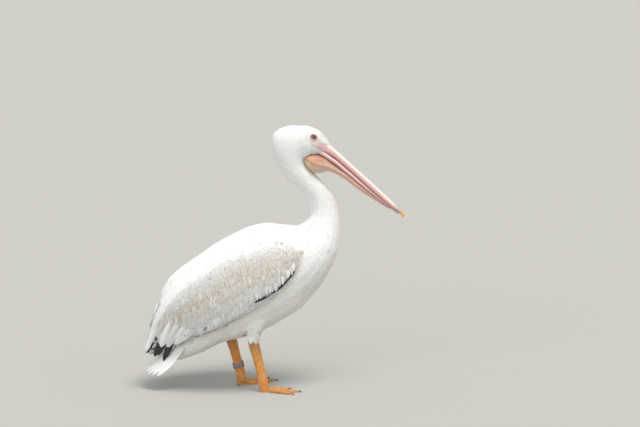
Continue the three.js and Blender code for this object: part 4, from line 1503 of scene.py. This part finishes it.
def bowed(side, rows, bow):
    """Paths on the flank that bow a little backwards, and which way is out there."""
    flat = straight(rows, stops)
    flat[..., 0] -= bow * np.sin(np.pi * stops)
    return beside(side, flat)


lobe_tracts = []
for side, word in ((-1, "right"), (1, "left")):
    order = np.arange(len(PRIMARIES))[:, None]
    path, outs = bowed(side, PRIMARIES, 7)
    level = np.interp(stops, (0, 0.55, 1), (6.5, 6.0, 2.5)) - 0.35 * order
    path = path - outs * level[..., None]
    flight = vanes(f"flight_feathers_{word}", path, outs, PRIMARIES[:, 4], LONG, {"soot": 1.0},
                   roll=3.0 * side, thick=0.8, camber=0.12)
    hang(flight, long_plume)
    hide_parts(f"primaries_{word}")
    path, outs = bowed(side, LOBES, 6)
    level = 3.0 * np.interp(stops, (0, 0.5), (1, 0)) - LOBES[:, 5:] * np.interp(stops, (0.3, 0.8), (0, 1))
    level = level - 0.3 * order
    path = path - outs * level[..., None]
    marks = {"grey": chance.uniform(0.15, 0.4, len(LOBES)), "tan": 0.06}
    lobe_tracts.append(vanes("lobe", path, outs, LOBES[:, 4], LONG, marks, sink=3.0, roll=4.0 * side,
                             thick=0.8, camber=0.18))
hang(gather("wing_lobes", lobe_tracts), long_plume)

# ---------------------------------------------------------------- tail
# Twenty-four white pointed feathers in a drooping fan, the middle pair on top, with shorter
# feathers over and under their bases.
# The tail's stations from base to tip: place forward and up, half its width, and its arch.
TAIL = ((-262, 172, 30, 8), (-305, 140, 44, 19), (-350, 101, 57, 28), (-400, 60, 61, 33))
PAIRS = 12
COVERTS = 17


def fan(name, spread, finish, width, above, marks):
    """Feathers fanned over the tail, each from its base to some share of its length."""
    at = finish[:, None] * shares(LONG)
    x, z, wide, arch = np.moveaxis(smooth_line(TAIL, at), -1, 0)
    ahead = unit(np.gradient(np.stack((x, z), axis=-1), axis=1))
    up = np.stack((ahead[..., 1], -ahead[..., 0]), axis=-1)
    over = spread[:, None]
    high = above[:, None] - arch * over**2
    path = np.stack((x + up[..., 0] * high, over * wide, z + up[..., 1] * high), axis=-1)
    outs = np.stack((up[..., 0] * wide, 2 * arch * over, up[..., 1] * wide), axis=-1)
    widths = np.full(len(spread), width)
    return vanes(name, path, unit(outs), widths, TAPERED, marks, thick=0.8, camber=0.12)


spread = np.concatenate((np.linspace(-1, -0.05, PAIRS), np.linspace(0.05, 1, PAIRS)))
inner = np.arange(2 * PAIRS) % 2
reach = 1.0 - 0.10 * np.abs(spread) ** 6 - inner * 0.11 + chance.uniform(-0.02, 0.01, 2 * PAIRS)
above = (1 - np.abs(spread)) * 9 - inner * 1.2
main = fan("tail_feathers", spread, reach, 22.0, above, {"grey": chance.uniform(0.03, 0.25, 2 * PAIRS)})
spread = np.linspace(-0.95, 0.95, COVERTS)
reach = 0.45 + chance.uniform(-0.04, 0.04, COVERTS)
over_base = fan("over", spread, reach, 18.0, (1 - np.abs(spread)) * 6 + 3, {"grey": 0.12})
reach = 0.5 + chance.uniform(-0.04, 0.04, COVERTS)
# The coverts under the tail are a little greyer and tan: painted shade and painted warm light from below.
under_base = fan("below", spread, reach, 18.0, (1 - np.abs(spread)) * 4 - 5, {"grey": 0.15, "tan": 0.1})
tail_piece = gather("tail_feathers", [main, over_base, under_base])
hang(tail_piece, long_plume)
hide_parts("tail")

# ---------------------------------------------------------------- clearing up
bpy.data.objects.remove(coat_form)
bpy.ops.object.select_all(action="DESELECT")
